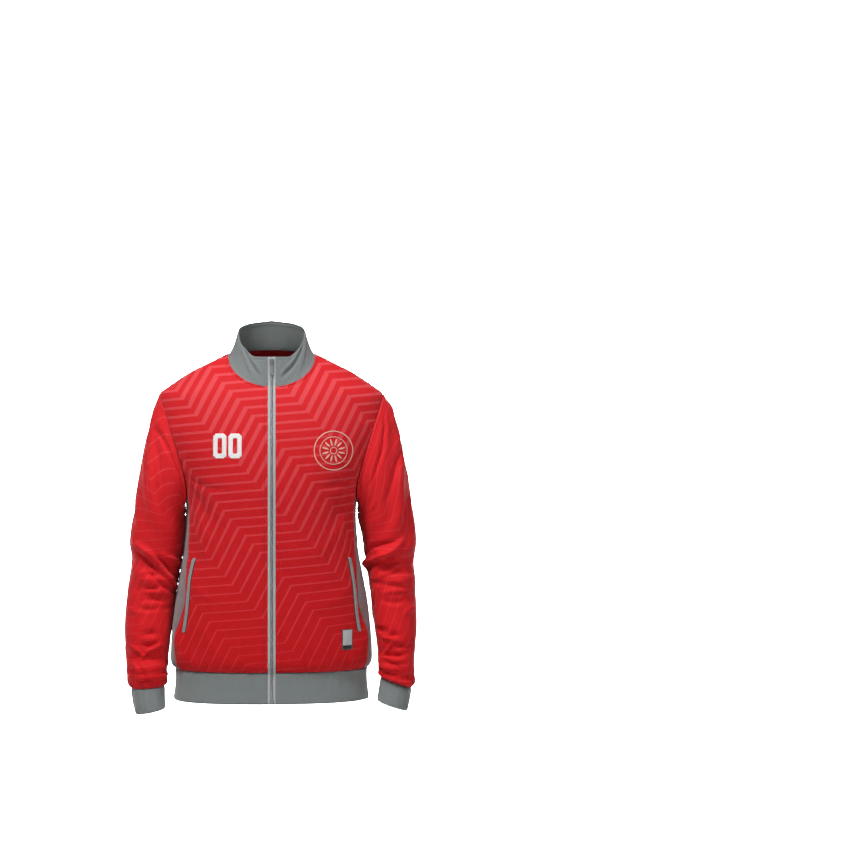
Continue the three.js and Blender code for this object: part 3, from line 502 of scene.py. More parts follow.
BODY_FOLD_LINES = segments(BODY_FOLDS, "turn", "z", math.radians(1) * FOLD_RADIUS)
BODY_CREASE_LINES = np.concatenate(
    [
        segments(BODY_CREASES, "turn", "z", math.radians(1) * FOLD_RADIUS),
        rumples(11, 9, (255, 330), (-600, -420), 75, 55, 9, 1.2),
        rumples(12, 9, (-330, -255), (-600, -420), 105, 55, 9, 1.2),
        rumples(13, 7, (205, 262), (-390, -270), 70, 40, 8, 1.4),
        rumples(14, 7, (-262, -205), (-390, -270), 110, 40, 8, 1.4),
        rumples(15, 8, (60, 180), (-600, -330), 80, 70, 14, 0.9),
        rumples(16, 8, (-180, -60), (-600, -330), 100, 70, 14, 0.9),
        rumples(17, 10, (330, 600), (-590, -430), 90, 70, 13, 0.9),
        rumples(18, 6, (340, 600), (-300, -110), 60, 60, 15, 0.8),
    ]
)
BODY_LAP = 2 * math.pi * FOLD_RADIUS
BODY_CREASE_DEPTH = 1.45


def oval_point(table, turn, z):
    """The point of an oval section at a turn in radians from the centre front."""
    s, c = np.sin(turn), np.cos(turn)
    swell = (np.abs(s) ** BODY_SQUARE + np.abs(c) ** BODY_SQUARE) ** (-1 / BODY_SQUARE)
    depth = np.where(c > 0, along(table, "z", "front", z), along(table, "z", "back", z))
    x = along(table, "z", "half", z) * swell * s
    return np.stack(np.broadcast_arrays(x, -depth * swell * c, z), -1)


def turn_at(table, x, z, back=False):
    """The turn at which the oval at height z is a given distance from the centre."""
    share = np.clip(np.abs(x) / along(table, "z", "half", z), 0, 1)
    turn = np.arctan2(share, (1 - share**BODY_SQUARE) ** (1 / BODY_SQUARE))
    return np.where(np.asarray(x) < 0, -1, 1) * (np.pi - turn if back else turn)


def smooth_body(turn, z):
    """The body without its folds."""
    return oval_point(BODY_SECTIONS, turn, z)


def out_of_body(turn):
    """Roughly outwards at a turn."""
    return np.stack([np.sin(turn), -np.cos(turn), np.full(np.shape(turn), 0.05)], -1)


def body_height(turn, z):
    """How far the cloth of the body stands off its smooth form."""
    x = turn * FOLD_RADIUS
    clear_of_zip = smoothstep(np.abs(turn), math.radians(9), math.radians(27))
    clear_of_band = smoothstep(z, BAND_TOP_Z, BAND_TOP_Z + 30)
    large = clear_of_zip * clear_of_band * fold_height(BODY_FOLD_LINES, x, z, BODY_LAP)
    clear_of_edge = smoothstep(np.abs(turn), 0.05, 0.2) * smoothstep(-z, 20, 90)
    fine = BODY_CREASE_DEPTH * clear_of_edge * crease_height(BODY_CREASE_LINES, x, z, BODY_LAP)
    off_band = np.maximum(z - BAND_TOP_Z, 0)
    hem = ripple(x, (0.5, BODY_LAP / 52, 0), (0.35, BODY_LAP / 31, 1), (0.3, BODY_LAP / 83, 2))
    near_band = smoothstep(np.abs(turn), 0.05, 0.15) * np.exp(-off_band / 20) * smoothstep(off_band, 0, 6)
    off_zip = np.maximum(np.abs(x) - ZIP_HALF_GAP, 0)
    zip_wave = ripple(z + 7 * np.sign(turn), (0.5, 31, 0), (0.3, 19, 1), (0.3, 47, 2))
    return large + fine + 1.3 * hem * near_band + 0.45 * zip_wave * np.exp(-off_zip / 12)


def body_point(turn, z):
    """A point of the body's cloth."""
    turn, z = np.broadcast_arrays(np.asarray(turn, float), np.asarray(z, float))
    out = normal_of(smooth_body, turn, z, 0.01, 1, out_of_body(turn))
    return smooth_body(turn, z) + out * body_height(turn, z)[..., None]


def armhole(part, back, shrink=0):
    """The armhole on the body as (turn, z): part 0 is the shoulder, 1 the armpit."""
    drop = (1 - np.cos(np.pi * part)) / 2
    wide = np.where(back, -ARMHOLE_BACK_TURN, ARMHOLE_FRONT_TURN)
    bow = np.maximum(np.sin(np.pi * part), 0) ** ARMHOLE_ROUNDNESS
    middle = (SHOULDER_Z + ARMPIT_Z) / 2
    z = lerp(SHOULDER_Z, ARMPIT_Z, drop)
    return np.radians(90 - wide * bow * (1 - shrink)), middle + (z - middle) * (1 - shrink)


def neck(part, back):
    """The neck seam on the body as (turn, z): part 0 is the centre front or back, 1 the shoulder."""
    x = NECK_HALF_WIDTH * np.sin(part * np.pi / 2)
    z = np.where(back, NECK_BACK_RISE, -NECK_FRONT_DROP) * np.cos(part * np.pi / 2)
    turn = turn_at(BODY_SECTIONS, np.maximum(x, 0.001), z)
    return np.where(back, np.pi - turn, turn), z


JUNCTION_Z = float(armhole(np.float64(JUNCTION / ARMHOLE_STEPS), False)[1])
NECK_START = math.asin(ZIP_HALF_GAP / NECK_HALF_WIDTH) * 2 / math.pi


def side_seam_turn(z, back):
    """The turn of the seam between the front or back and the side panel."""
    top = armhole(np.float64(JUNCTION / ARMHOLE_STEPS), back)[0]
    table = SIDE_SEAMS[back]
    low = turn_at(BODY_SECTIONS, along(table, "z", "x", z), z, back)
    return lerp(low, top, smoothstep(z, table["z"][0], JUNCTION_Z))


EDGE_PLACES = np.array([0, 0.9, 2, 3.2, 4.6, 6, 7.6, 9.6, 12])


def spread(length, step):
    """Places from 0 to 1 along a length, closer together by both ends."""
    count = max(3, round((length - 2 * EDGE_PLACES[-1]) / step) + 1)
    middle = np.linspace(EDGE_PLACES[-1], length - EDGE_PLACES[-1], count)
    return np.concatenate([EDGE_PLACES[:-1], middle, length - EDGE_PLACES[-2::-1]]) / length


def edge_distances(points):
    """Distances over the cloth from a grid's first and last column and its first and last row."""
    over = np.linalg.norm(np.diff(points, axis=1), axis=-1)
    up = np.linalg.norm(np.diff(points, axis=0), axis=-1)
    columns = np.concatenate([np.zeros((len(points), 1)), np.cumsum(over, 1)], 1)
    lines = np.concatenate([np.zeros((1, points.shape[1])), np.cumsum(up, 0)], 0)
    return columns, columns[:, -1:] - columns, lines, lines[-1:] - lines


def roll(distance, depth=0.6):
    """Cloth that turns in at a sewn edge."""
    return -depth * np.exp(-((distance / 1.9) ** 2))


def groove(distance, at, depth=0.4):
    """The dent of a row of stitches that runs along an edge."""
    return -depth * np.exp(-(((distance - at) / 1.5) ** 2))


def cells(patch, start, core):
    """A grid's four-sided faces, facing away from its core."""
    points = patch["points"]
    ids = start + np.arange(points.shape[0] * points.shape[1]).reshape(points.shape[:2])
    quads = np.stack([ids[:-1, :-1], ids[:-1, 1:], ids[1:, 1:], ids[1:, :-1]], -1).reshape(-1, 4)
    a, b, c, d = (points.reshape(-1, 3)[quads[:, i] - start] for i in range(4))
    middle = (a + b + c + d) / 4
    away = middle - (middle * (0, 0, 1) if core is None else core)
    outwards = np.sum(np.cross(c - a, d - b) * away) > 0
    return quads if outwards else quads[:, ::-1]


def vertex_normals(points, faces):
    """Normals of a mesh of four-sided faces."""
    a, b, c, d = (points[faces[:, i]] for i in range(4))
    face = np.cross(c - a, d - b)
    total = np.zeros_like(points)
    for i in range(4):
        np.add.at(total, faces[:, i], face)
    return unit(total)


def smoothed(normals, faces, rounds=4):
    """Normals evened out over their neighbours, which steadies thin corner cells."""
    for _ in range(rounds):
        shared = normals[faces].sum(1)
        total = normals.copy()
        for i in range(4):
            np.add.at(total, faces[:, i], shared)
        normals = unit(total)
    return normals


def patch(points, uv, relief=0.0):
    """A grid of points with its place on the flat cloth and its height off the form."""
    return {
        "points": points,
        "uv": np.stack(np.broadcast_arrays(*uv), -1),
        "relief": np.broadcast_to(relief, points.shape[:2]),
    }


def new_object(name, points, faces, uv=None, slots=None, materials=()):
    """A smooth mesh object at the origin from points in millimetres."""
    mesh = bpy.data.meshes.new(name)
    mesh.from_pydata((np.asarray(points) * MM).tolist(), [], np.asarray(faces).tolist())
    if uv is not None:
        layer = mesh.uv_layers.new(name="cloth")
        layer.data.foreach_set("uv", (uv * MM).astype(np.float32).ravel())
    for material in materials:
        mesh.materials.append(material)
    if slots is not None:
        mesh.polygons.foreach_set("material_index", slots.astype(np.int32))
    mesh.shade_smooth()
    mesh.update()
    obj = bpy.data.objects.new(name, mesh)
    bpy.context.collection.objects.link(obj)
    return obj


def shell(name, patches, thickness, materials, core=None, bulge=0.35):
    """A closed thin wall from grids of outer points. Grids that share points are joined, and the
    wall's edge is rounded. The second material, if there is one, is the cloth's reverse."""
    quads, start = [], 0
    for grid in patches:
        quads.append(cells(grid, start, core))
        start += grid["points"].shape[0] * grid["points"].shape[1]
    quads = np.concatenate(quads)
    raw = np.concatenate([grid["points"].reshape(-1, 3) for grid in patches])
    relief = np.concatenate([grid["relief"].ravel() for grid in patches])
    uv = np.concatenate([grid["uv"].reshape(-1, 2) for grid in patches])
    keys = np.rint(raw * 1000).astype(np.int64)
    _, first, where = np.unique(keys, axis=0, return_index=True, return_inverse=True)
    where = where.reshape(-1)
    faces = where[quads]
    count = len(first)
    height = np.bincount(where, relief, count) / np.bincount(where, minlength=count)
    outer = raw[first] + smoothed(vertex_normals(raw[first], faces), faces) * height[:, None]
    normals = smoothed(vertex_normals(outer, faces), faces)
    inner = outer - normals * thickness

    edges = np.stack([faces, np.roll(faces, -1, 1)], -1).reshape(-1, 2)
    corners = np.stack([quads, np.roll(quads, -1, 1)], -1).reshape(-1, 2)
    code = edges[:, 0] * count + edges[:, 1]
    free = ~np.isin(code, edges[:, 1] * count + edges[:, 0])
    rim, rim_uv = edges[free], corners[free]
    inwards = np.zeros_like(outer)
    for i in range(4):
        for j in range(4):
            np.add.at(inwards, faces[:, i], outer[faces[:, j]] - outer[faces[:, i]])
    inwards -= normals * np.sum(inwards * normals, -1, keepdims=True)
    middle = (outer + inner) / 2 - unit(inwards) * thickness * bulge
    on_rim = np.unique(rim)
    place = np.zeros(count, int)
    place[on_rim] = 2 * count + np.arange(len(on_rim))
    a, b = rim[:, 0], rim[:, 1]
    upper = np.stack([b, a, place[a], place[b]], 1)
    lower = np.stack([place[b], place[a], a + count, b + count], 1)
    uv_a, uv_b = rim_uv[:, 0], rim_uv[:, 1]
    rim_corners = np.stack([uv_b, uv_a, uv_a, uv_b], 1)
    all_faces = np.concatenate([faces, faces[:, ::-1] + count, upper, lower])
    all_corners = np.concatenate([quads, quads[:, ::-1], rim_corners, rim_corners])
    slots = np.zeros(len(all_faces))
    slots[len(faces) : 2 * len(faces)] = len(materials) > 1
    points = np.concatenate([outer, inner, middle[on_rim]])
    return new_object(name, points, all_faces, uv[all_corners].reshape(-1, 2), slots, materials)


# How far round the body each turn is, for the place of a pattern on the cloth
ARC_Z = np.arange(-672.0, 18, 2)
ARC_TURN = np.linspace(0, np.pi, 721)
_ring = smooth_body(*np.meshgrid(ARC_TURN, ARC_Z))
_steps = np.linalg.norm(np.diff(_ring, axis=1), axis=-1)
ARC_TABLE = np.concatenate([np.zeros((len(ARC_Z), 1)), np.cumsum(_steps, 1)], 1)


def arc_length(turn, z):
    """Distance over the cloth from the centre front at a height."""
    row = np.clip((z - ARC_Z[0]) / (ARC_Z[1] - ARC_Z[0]), 0, len(ARC_Z) - 1.001)
    column = np.clip(np.abs(turn) / (ARC_TURN[1] - ARC_TURN[0]), 0, len(ARC_TURN) - 1.001)
    r, c = row.astype(int), column.astype(int)
    low = lerp(ARC_TABLE[r, c], ARC_TABLE[r, c + 1], column - c)
    high = lerp(ARC_TABLE[r + 1, c], ARC_TABLE[r + 1, c + 1], column - c)
    return lerp(low, high, row - r)


def cloth_place(turn, z, side, back):
    """A place on the flat cloth, measured to the viewer's right and up, as one looks at it."""
    if not back:
        return side * arc_length(turn, z), z
    half = arc_length(np.full_like(turn, np.pi), z)
    return -side * (half - arc_length(turn, z)), z


def panel_ends(back, step):
    """The two ends of each row of half a front or back, as (turn, z, turn, z)."""
    inset = SEAM / 2 / FOLD_RADIUS * (1 if back else -1)
    z = lerp(BAND_TOP_Z + SEAM / 2, JUNCTION_Z, spread(JUNCTION_Z - BAND_TOP_Z, step))[:-9]
    z = np.concatenate([z, np.arange(z[-1] + step, JUNCTION_Z - step / 2, step)])

    def centre(v):
        """The turn of the centre back, or of the front's edge by the zip."""
        return np.full_like(v, np.pi) if back else turn_at(BODY_SECTIONS, ZIP_HALF_GAP, v)

    low = np.stack([centre(z), z, side_seam_turn(z, back) + inset, z], 1)
    count = round(22 / step)
    t = np.linspace(0, JUNCTION, JUNCTION * count + 1)
    t = np.unique(np.round(np.concatenate([t, JUNCTION - EDGE_PLACES[:-2] / 22]), 4))
    arm_turn, arm_z = armhole((JUNCTION - t) / ARMHOLE_STEPS, back)
    arm_turn = arm_turn + np.where(t == 0, inset, 0)
    necks = NECK_STEPS[back]
    centre_steps = JUNCTION - necks
    start = 0 if back else NECK_START
    neck_turn, neck_z = neck(lerp(start, 1, np.clip((t - centre_steps) / necks, 0, 1)), back)
    walk_z = lerp(JUNCTION_Z, neck_z[t >= centre_steps][0], np.clip(t / centre_steps, 0, 1))
    on_neck = t >= centre_steps
    edge_turn = np.where(on_neck, neck_turn, centre(walk_z))
    edge_z = np.where(on_neck, neck_z, walk_z)
    return np.concatenate([low, np.stack([edge_turn, edge_z, arm_turn, arm_z], 1)])


def half_panel(back, side, step, relief):
    """Half a front or back as a patch."""
    ends = panel_ends(back, step)
    f = spread(175, step)
    if back:
        f = np.concatenate([np.linspace(0, 12 / 175, 4), f[9:]])
    turn = side * lerp(ends[:, :1], ends[:, 2:3], f[None])
    z = lerp(ends[:, 1:2], ends[:, 3:4], f[None])
    shoulder = 0.0035 if back else -0.0035
    turn[-1] += side * shoulder
    points = body_point(turn, z)
    if back:
        neck_rows = np.arange(len(ends)) > len(ends) - 1 - NECK_STEPS[True] * round(22 / step) - 7
        points[~neck_rows, 0, 0] = 0
    return patch(points, cloth_place(turn, z, side, back), relief(points, ends))


def neck_row(back, off):
    """The places at a distance from the neck seam on half a front or back, as (turn, z)."""
    ends = panel_ends(back, 4)
    ends = ends[ends[:, 0] < 3.14] if back else ends[ends[:, 0] > 0.06]
    length = np.linalg.norm(body_point(ends[:, 2], ends[:, 3]) - body_point(ends[:, 0], ends[:, 1]), axis=-1)
    return lerp(ends[:, 0], ends[:, 2], off / length), lerp(ends[:, 1], ends[:, 3], off / length)


def front_relief(points, ends):
    """Rolled seam edges of a front, and its rows of stitches by the zip and the neck."""
    first, last, hem, top = edge_distances(points)
    on_neck = np.abs(ends[:, :1]) > 0.06
    neck_seam = on_neck * (groove(first, 3, -1.8) + groove(first, 6.2, 1.2))
    return roll(first) + roll(last) + roll(hem, 1.4) + roll(top, 0.7) + groove(first, 6.4, 0.35) + neck_seam


def back_relief(points, ends):
    """Rolled seam edges of the back."""
    first, last, hem, top = edge_distances(points)
    on_neck = np.abs(ends[:, :1]) < 3.14
    neck_seam = roll(first) + groove(first, 3, -1.8) + groove(first, 6.2, 1.2)
    return on_neck * neck_seam + roll(last) + roll(hem, 1.4) + roll(top, 0.7)


def side_panel_patch(side, step):
    """The grey panel under the arm as a patch."""
    inset = SEAM / 2 / FOLD_RADIUS
    count = 2 * round(22 / step)
    part = np.linspace(JUNCTION / ARMHOLE_STEPS, 1, count + 1)
    arc = [armhole(part, False), armhole(part[::-1][1:], True)]
    top_turn = np.concatenate([arc[0][0], arc[1][0]])
    top_z = np.concatenate([arc[0][1], arc[1][1]])
    f = np.linspace(0, 1, len(top_turn))[None]
    v = spread(JUNCTION_Z - BAND_TOP_Z, step)[:, None]
    level = lerp(BAND_TOP_Z + SEAM / 2, JUNCTION_Z, v)
    near = v**4
    front, back = side_seam_turn(level, False) + inset, side_seam_turn(level, True) - inset
    turn = lerp(lerp(front, back, f), top_turn[None], near)
    turn[:, :1], turn[:, -1:] = front, back
    z = level + (top_z[None] - JUNCTION_Z) * near
    points = body_point(side * turn, z)
    first, last, hem, top = edge_distances(points)
    relief = roll(first) + roll(last) + roll(hem, 1.4) + roll(top)
    return patch(points, cloth_place(side * turn, z, side, False), relief)


def ring_point(table, side, round_, down):
    """A point of a sleeve or cuff: round is part of a turn from the outer edge by the front."""
    c, s = np.cos(2 * np.pi * round_), np.sin(2 * np.pi * round_)
    swell = (np.abs(s) ** SLEEVE_SQUARE + np.abs(c) ** SLEEVE_SQUARE) ** (-1 / SLEEVE_SQUARE)
    out_x, out_z, in_x, in_z, mid_y, front, back = (
        along(table, "down", name, down) for name in SLEEVE_COLUMNS.split()[1:]
    )
    x = side * ((out_x + in_x) / 2 + (out_x - in_x) / 2 * c * swell)
    y = mid_y - np.where(s > 0, front, back) * s * swell
    z = (out_z + in_z) / 2 + (out_z - in_z) / 2 * c * swell
    return np.stack(np.broadcast_arrays(x, y, z), -1)


def armhole_point(side, round_, shrink=0):
    """The point of the body's cloth where the sleeve is sewn on."""
    back = round_ > 0.5
    turn, z = armhole(np.where(back, 2 - 2 * round_, 2 * round_), back, shrink)
    return body_point(side * turn, z)


class Sleeve:
    """One sleeve's surface, from the armhole to the cuff."""

    def __init__(self, name, strength):
        """Gathers the sleeve's table, folds and creases."""
        self.strength = strength
        self.side = SIDES[name]
        self.table = SLEEVES[name]
        self.length = self.table["down"][-1]
        self.folds = segments(SLEEVE_FOLDS[name], "round", "down", SLEEVE_ROUND)
        seed = 40 if name == "left" else 60
        self.creases = np.concatenate(
            [
                segments(SLEEVE_CREASES[name], "round", "down", SLEEVE_ROUND),
                rumples(seed + 1, 12, (60, 190), (235, 345), 12, 34, 6, 1.5),
                rumples(seed + 2, 9, (200, 330), (225, 330), -12, 40, 7, 1.5),
                rumples(seed + 3, 10, (20, 200), (415, 492), 6, 34, 6, 1.4),
                rumples(seed + 4, 8, (200, 360), (415, 492), -6, 34, 6, 1.4),
                rumples(seed + 5, 7, (120, 250), (20, 130), 30, 45, 8, 1.3),
                rumples(seed + 6, 8, (0, 130), (20, 220), 55, 55, 10, 1.0),
                rumples(seed + 7, 8, (240, 370), (30, 220), 125, 55, 10, 1.1),
                rumples(seed + 8, 8, (0, 380), (330, 430), 60, 50, 9, 1.0),
            ]
        )
        places = np.linspace(0, 1, 2001)
        self.places = places
        self.armhole = armhole_point(self.side, places)
        self.miss = self.armhole - ring_point(self.table, self.side, places, 0)

    def plain(self, round_, down):
        """The sleeve without its folds."""
        r = np.mod(round_, 1)
        miss = np.stack([np.interp(r, self.places, self.miss[:, i]) for i in range(3)], -1)
        keep = 1 - smoothstep(down, 0, SLEEVE_BLEND)
        return ring_point(self.table, self.side, r, down) + miss * keep[..., None]

    def out(self, round_, down):
        """Roughly outwards."""
        front = ring_point(self.table, self.side, 0.25, down)
        back = ring_point(self.table, self.side, 0.75, down)
        return self.plain(round_, down) - (front + back) / 2

    def point(self, round_, down):
        """A point of the sleeve's cloth."""
        round_, down = np.broadcast_arrays(np.asarray(round_, float), np.asarray(down, float))
        x = np.mod(round_, 1) * SLEEVE_ROUND
        out = normal_of(self.plain, round_, down, 0.01, 1.5, self.out(round_, down))
        clear = smoothstep(down, 0, 50) * (1 - smoothstep(down, self.length - 22, self.length))
        large = clear * fold_height(self.folds, x, down, SLEEVE_ROUND)
        clear = smoothstep(down, 0, 22) * (1 - smoothstep(down, self.length - 8, self.length))
        fine = self.strength * clear * crease_height(self.creases, x, down, SLEEVE_ROUND)
        off_cuff = np.maximum(self.length - down, 0)
        turns = SLEEVE_ROUND / np.array([23, 14, 37])
        gather = ripple(x, (0.5, turns[0], 0), (0.4, turns[1], 1), (0.3, turns[2], 2.5))
        pucker = 1.7 * gather * np.exp(-off_cuff / 22) * smoothstep(off_cuff, 0, 7)
        cap = 0.35 * ripple(x, (0.6, SLEEVE_ROUND / 29, 0), (0.5, SLEEVE_ROUND / 17, 1.5))
        height = large + fine + pucker + cap * np.exp(-down / 9) * smoothstep(down, 0, 4)
        return self.plain(round_, down) + out * height[..., None]

    def patch(self, step):
        """The sleeve as a patch whose ends meet under the arm."""
        round_ = (spread(SLEEVE_ROUND, step) - 0.5)[None]
        down = (self.length - SEAM) * spread(self.length, step)[:, None]
        round_, down = np.broadcast_arrays(round_, down)
        points = self.point(round_, down)
        points[0] = armhole_point(self.side, np.mod(round_[0], 1), 0.0008)
        points[:, -1] = points[:, 0]
        first, last, top, cuff = edge_distances(points)
        seam = np.minimum(first, last)
        relief = roll(seam, 0.6) + roll(top, 1.0) + roll(cuff, 1.4) + 0.6 * np.exp(-(((top - 4.5) / 3) ** 2))
        relief = relief + groove(top, 8, 0.3)
        return patch(points, (-self.side * round_ * SLEEVE_ROUND, -down), relief)


def cuff_patch(name, step):
    """A knitted cuff as a patch."""
    side, table = SIDES[name], CUFFS[name]
    length = table["down"][-1]
    round_ = (np.linspace(-0.5, 0.5, round(230 / step) + 1))[None]
    down = length * spread(length, step * 0.8)[:, None]
    round_, down = np.broadcast_arrays(round_, down)
    points = ring_point(table, side, round_, down)
    points[:, -1] = points[:, 0]
    _, _, top, end = edge_distances(points)
    x = round_ * SLEEVE_ROUND
    gather = ripple(x, (0.5, SLEEVE_ROUND / 19, 0), (0.5, SLEEVE_ROUND / 9, 1), (0.4, SLEEVE_ROUND / 5, 2))
    gather = gather * (0.5 + 0.5 * np.exp(-top / 14)) * smoothstep(top, 0, 5)
    relief = roll(top, 1.2) + roll(end, 1.0) + 0.7 * gather
    return patch(points, (round_ * 230, -down), relief)


def band_patch(step):
    """The knitted band as a patch, from zip to zip."""
    start = float(turn_at(BAND_SECTIONS, ZIP_HALF_GAP, BAND_TOP_Z))
    turn = lerp(start, 2 * np.pi - start, spread(1010, step))[None]
    z = lerp(BAND_BOTTOM_Z, BAND_TOP_Z - SEAM / 2, spread(59, step * 0.8))[:, None]
    turn, z = np.broadcast_arrays(turn, z)
    points = oval_point(BAND_SECTIONS, turn, z)
    first, last, end, top = edge_distances(points)
    x = turn * FOLD_RADIUS
    lap = BODY_LAP
    gather = ripple(x, (0.5, lap / 52, 0), (0.35, lap / 31, 1), (0.3, lap / 83, 2))
    slow = ripple(x, (0.6, lap / 11, 0.4), (0.4, lap / 7, 2.2), (0.3, lap / 19, 1.1))
    zip_free = smoothstep(np.minimum(first, last), 8, 40)
    relief = roll(top, 1.3) + roll(end, 1.0) + roll(first, 0.6) + roll(last, 0.6)
    relief = relief + zip_free * (0.8 * gather * np.exp(-top / 12) * smoothstep(top, 0, 5) + 0.7 * slow)
    return patch(points, (first, z), relief)


def collar_point(side, part, up):
    """A point of the stand collar: part 0 is the centre front, 1 the centre back."""
    back = part > 0.5
    turn, z = neck(np.where(back, 2 - 2 * part, 2 * part), back)
    foot = body_point(side * turn, z)
    angle = part * np.pi
    top_z = along(COLLAR_TOP, "turn", "z", part * 180)
    top_x = side * COLLAR_HALF_WIDTH * np.sin(angle)
    top_y = -np.where(back, COLLAR_BACK, COLLAR_FRONT) * np.cos(angle)
    lean = up**COLLAR_STAND
    ways = ((0, top_x, lean), (1, top_y, lean), (2, top_z, up))
    x, y, z = (lerp(foot[..., i], top, f) for i, top, f in ways)
    return np.stack(np.broadcast_arrays(x, y, z), -1)


def collar_patch(step):
    """The collar as a patch, from zip to zip."""
    start = NECK_START / 2
    q = lerp(start, 2 - start, spread(2 * COLLAR_LENGTH, step))[None]
    up = spread(COLLAR_HEIGHT, step * 0.7)[:, None]
    q, up = np.broadcast_arrays(q, up)
    side = np.where(q <= 1, 1, -1)
    points = collar_point(side, np.where(q <= 1, q, 2 - q), up)
    points[:, 0, 0], points[:, -1, 0] = ZIP_HALF_GAP, -ZIP_HALF_GAP
    points[0, :, 2] += SEAM
    first, last, foot, top = edge_distances(points)
    x, y = q * COLLAR_LENGTH, up * COLLAR_HEIGHT
    lines = segments(COLLAR_CREASES, "part", "up", COLLAR_LENGTH)
    lines[:, 1] *= COLLAR_HEIGHT
    lines[:, 3] *= COLLAR_HEIGHT
    fine = crease_height(lines, x, y, 1e6) * smoothstep(np.minimum(first, last), 4, 22)
    wave = ripple(x, (0.4, 34, 0), (0.3, 21, 1), (0.4, 61, 2)) * np.exp(-foot / 12) * smoothstep(foot, 0, 5)
    relief = fine + roll(foot, 1.1) + roll(top, 0.9) + roll(first, 0.6) + roll(last, 0.6)
    relief = relief + groove(np.minimum(np.minimum(first, last), top), 5.5, 0.8) + groove(foot, 5.5, 0.3)
    return patch(points, (x, y), relief + 0.7 * wave)


COLLAR_TOP_FRONT_Z = COLLAR_TOP["z"][0]


def centre_front(z):
    """The depth of the centre front at heights from the band's edge to the collar's top."""
    band = oval_point(BAND_SECTIONS, np.zeros_like(z), z)[..., 1]
    body = smooth_body(np.zeros_like(z), z)[..., 1]
    up = np.clip((z + NECK_FRONT_DROP) / (COLLAR_TOP_FRONT_Z + NECK_FRONT_DROP), 0, 1)
    stand = collar_point(1, np.full_like(z, 0.0001), up)[..., 1]
    return np.where(z < BAND_TOP_Z, band, np.where(z < -NECK_FRONT_DROP, body, stand))


ZIP_Z = np.linspace(BAND_BOTTOM_Z - 12, COLLAR_TOP_FRONT_Z + 12, 700)
_blur = np.hanning(15) / np.hanning(15).sum()
_depth = centre_front(np.clip(ZIP_Z, BAND_BOTTOM_Z, COLLAR_TOP_FRONT_Z))
ZIP_Y = np.convolve(np.pad(_depth, 7, "edge"), _blur, "valid")


def zip_frame(z):
    """The middle of the zip and its outward direction at heights."""
    y = np.interp(z, ZIP_Z, ZIP_Y)
    rise = (np.interp(z + 2, ZIP_Z, ZIP_Y) - np.interp(z - 2, ZIP_Z, ZIP_Y)) / 4
    zero = np.zeros_like(y)
    out = unit(np.stack([zero, -np.ones_like(y), rise], -1))
    return np.stack([zero, y, z], -1), out


def zip_strip(x, z, proud):
    """A patch along the zip: x and proud give its section."""
    middle, out = zip_frame(z)
    x, proud = np.asarray(x, float), np.asarray(proud, float)
    points = middle[:, None] + out[:, None] * proud[None, :, None]
    points[..., 0] = x[None]
    return patch(points, (x[None], z[:, None]))


def on_front(side, x, z):
    """A point of a front's cloth from its place seen from the front."""
    return body_point(side * turn_at(BODY_SECTIONS, x, z), z)


def on_back(x, z):
    """A point of the back's cloth from its place seen from behind, x to the wearer's left."""
    return body_point(turn_at(BODY_SECTIONS, x, z, True), z)


def chamfered(x, z, half_width, half_height, cut, steps):
    """A closed outline of a rectangle with cut corners, as (n, 2) places."""
    w, h = half_width, half_height
    corners = [(-w + cut, -h), (w - cut, -h), (w, -h + cut), (w, h - cut)]
    corners += [(w - cut, h), (-w + cut, h), (-w, h - cut), (-w, -h + cut), (-w + cut, -h)]
    sides = zip(corners, corners[1:], steps * 4)
    line = [lerp(np.array(a), np.array(b), f) for a, b, n in sides for f in np.arange(n) / n]
    return np.array(line + [corners[0]]) + (x, z)


def circle(x, z, radius, count=96):
    """A closed round outline."""
    angle = np.linspace(0, 2 * np.pi, count + 1)
    return np.stack([x + radius * np.cos(angle), z + radius * np.sin(angle)], 1)


def between(surface, outline, inside, across, lift):
    """A patch of print between two closed outlines, laid on the cloth."""
    f = np.linspace(0, 1, across + 1)[:, None, None]
    place = lerp(inside[None], outline[None], f)
    place[:, -1] = place[:, 0]
    x, z = place[..., 0], place[..., 1]
    return patch(surface(x, z), (x, z), lift)


# Materials
MATH, MIX = "ShaderNodeMath", "ShaderNodeMix"


def linear(code):
    """A colour's sRGB code as linear RGBA."""
    parts = [int(code[i : i + 2], 16) / 255 for i in (1, 3, 5)]
    return [c / 12.92 if c <= 0.04045 else ((c + 0.055) / 1.055) ** 2.4 for c in parts] + [1]


def put(tree, kind, inputs=None, **settings):
    """Adds a node with its settings. Inputs are values or sockets, by the socket's name or place."""
    node = tree.nodes.new(kind)
    for name, value in settings.items():
        setattr(node, name, value)
    for place, value in (inputs or {}).items():
        if isinstance(value, bpy.types.NodeSocket):
            tree.links.new(value, node.inputs[place])
        else:
            node.inputs[place].default_value = value
    return node


def new_material(name):
    """An empty node material with its shader and output, as (material, tree, shader)."""
    material = bpy.data.materials.new(name)
    material.use_nodes = True
    tree = material.node_tree
    tree.nodes.clear()
    shader = put(tree, "ShaderNodeBsdfPrincipled")
    put(tree, "ShaderNodeOutputMaterial", {"Surface": shader.outputs["BSDF"]})
    return material, tree, shader


def set_shader(shader, **values):
    """Sets uniform values on the shader."""
    for name, value in values.items():
        shader.inputs[name.replace("_", " ")].default_value = value


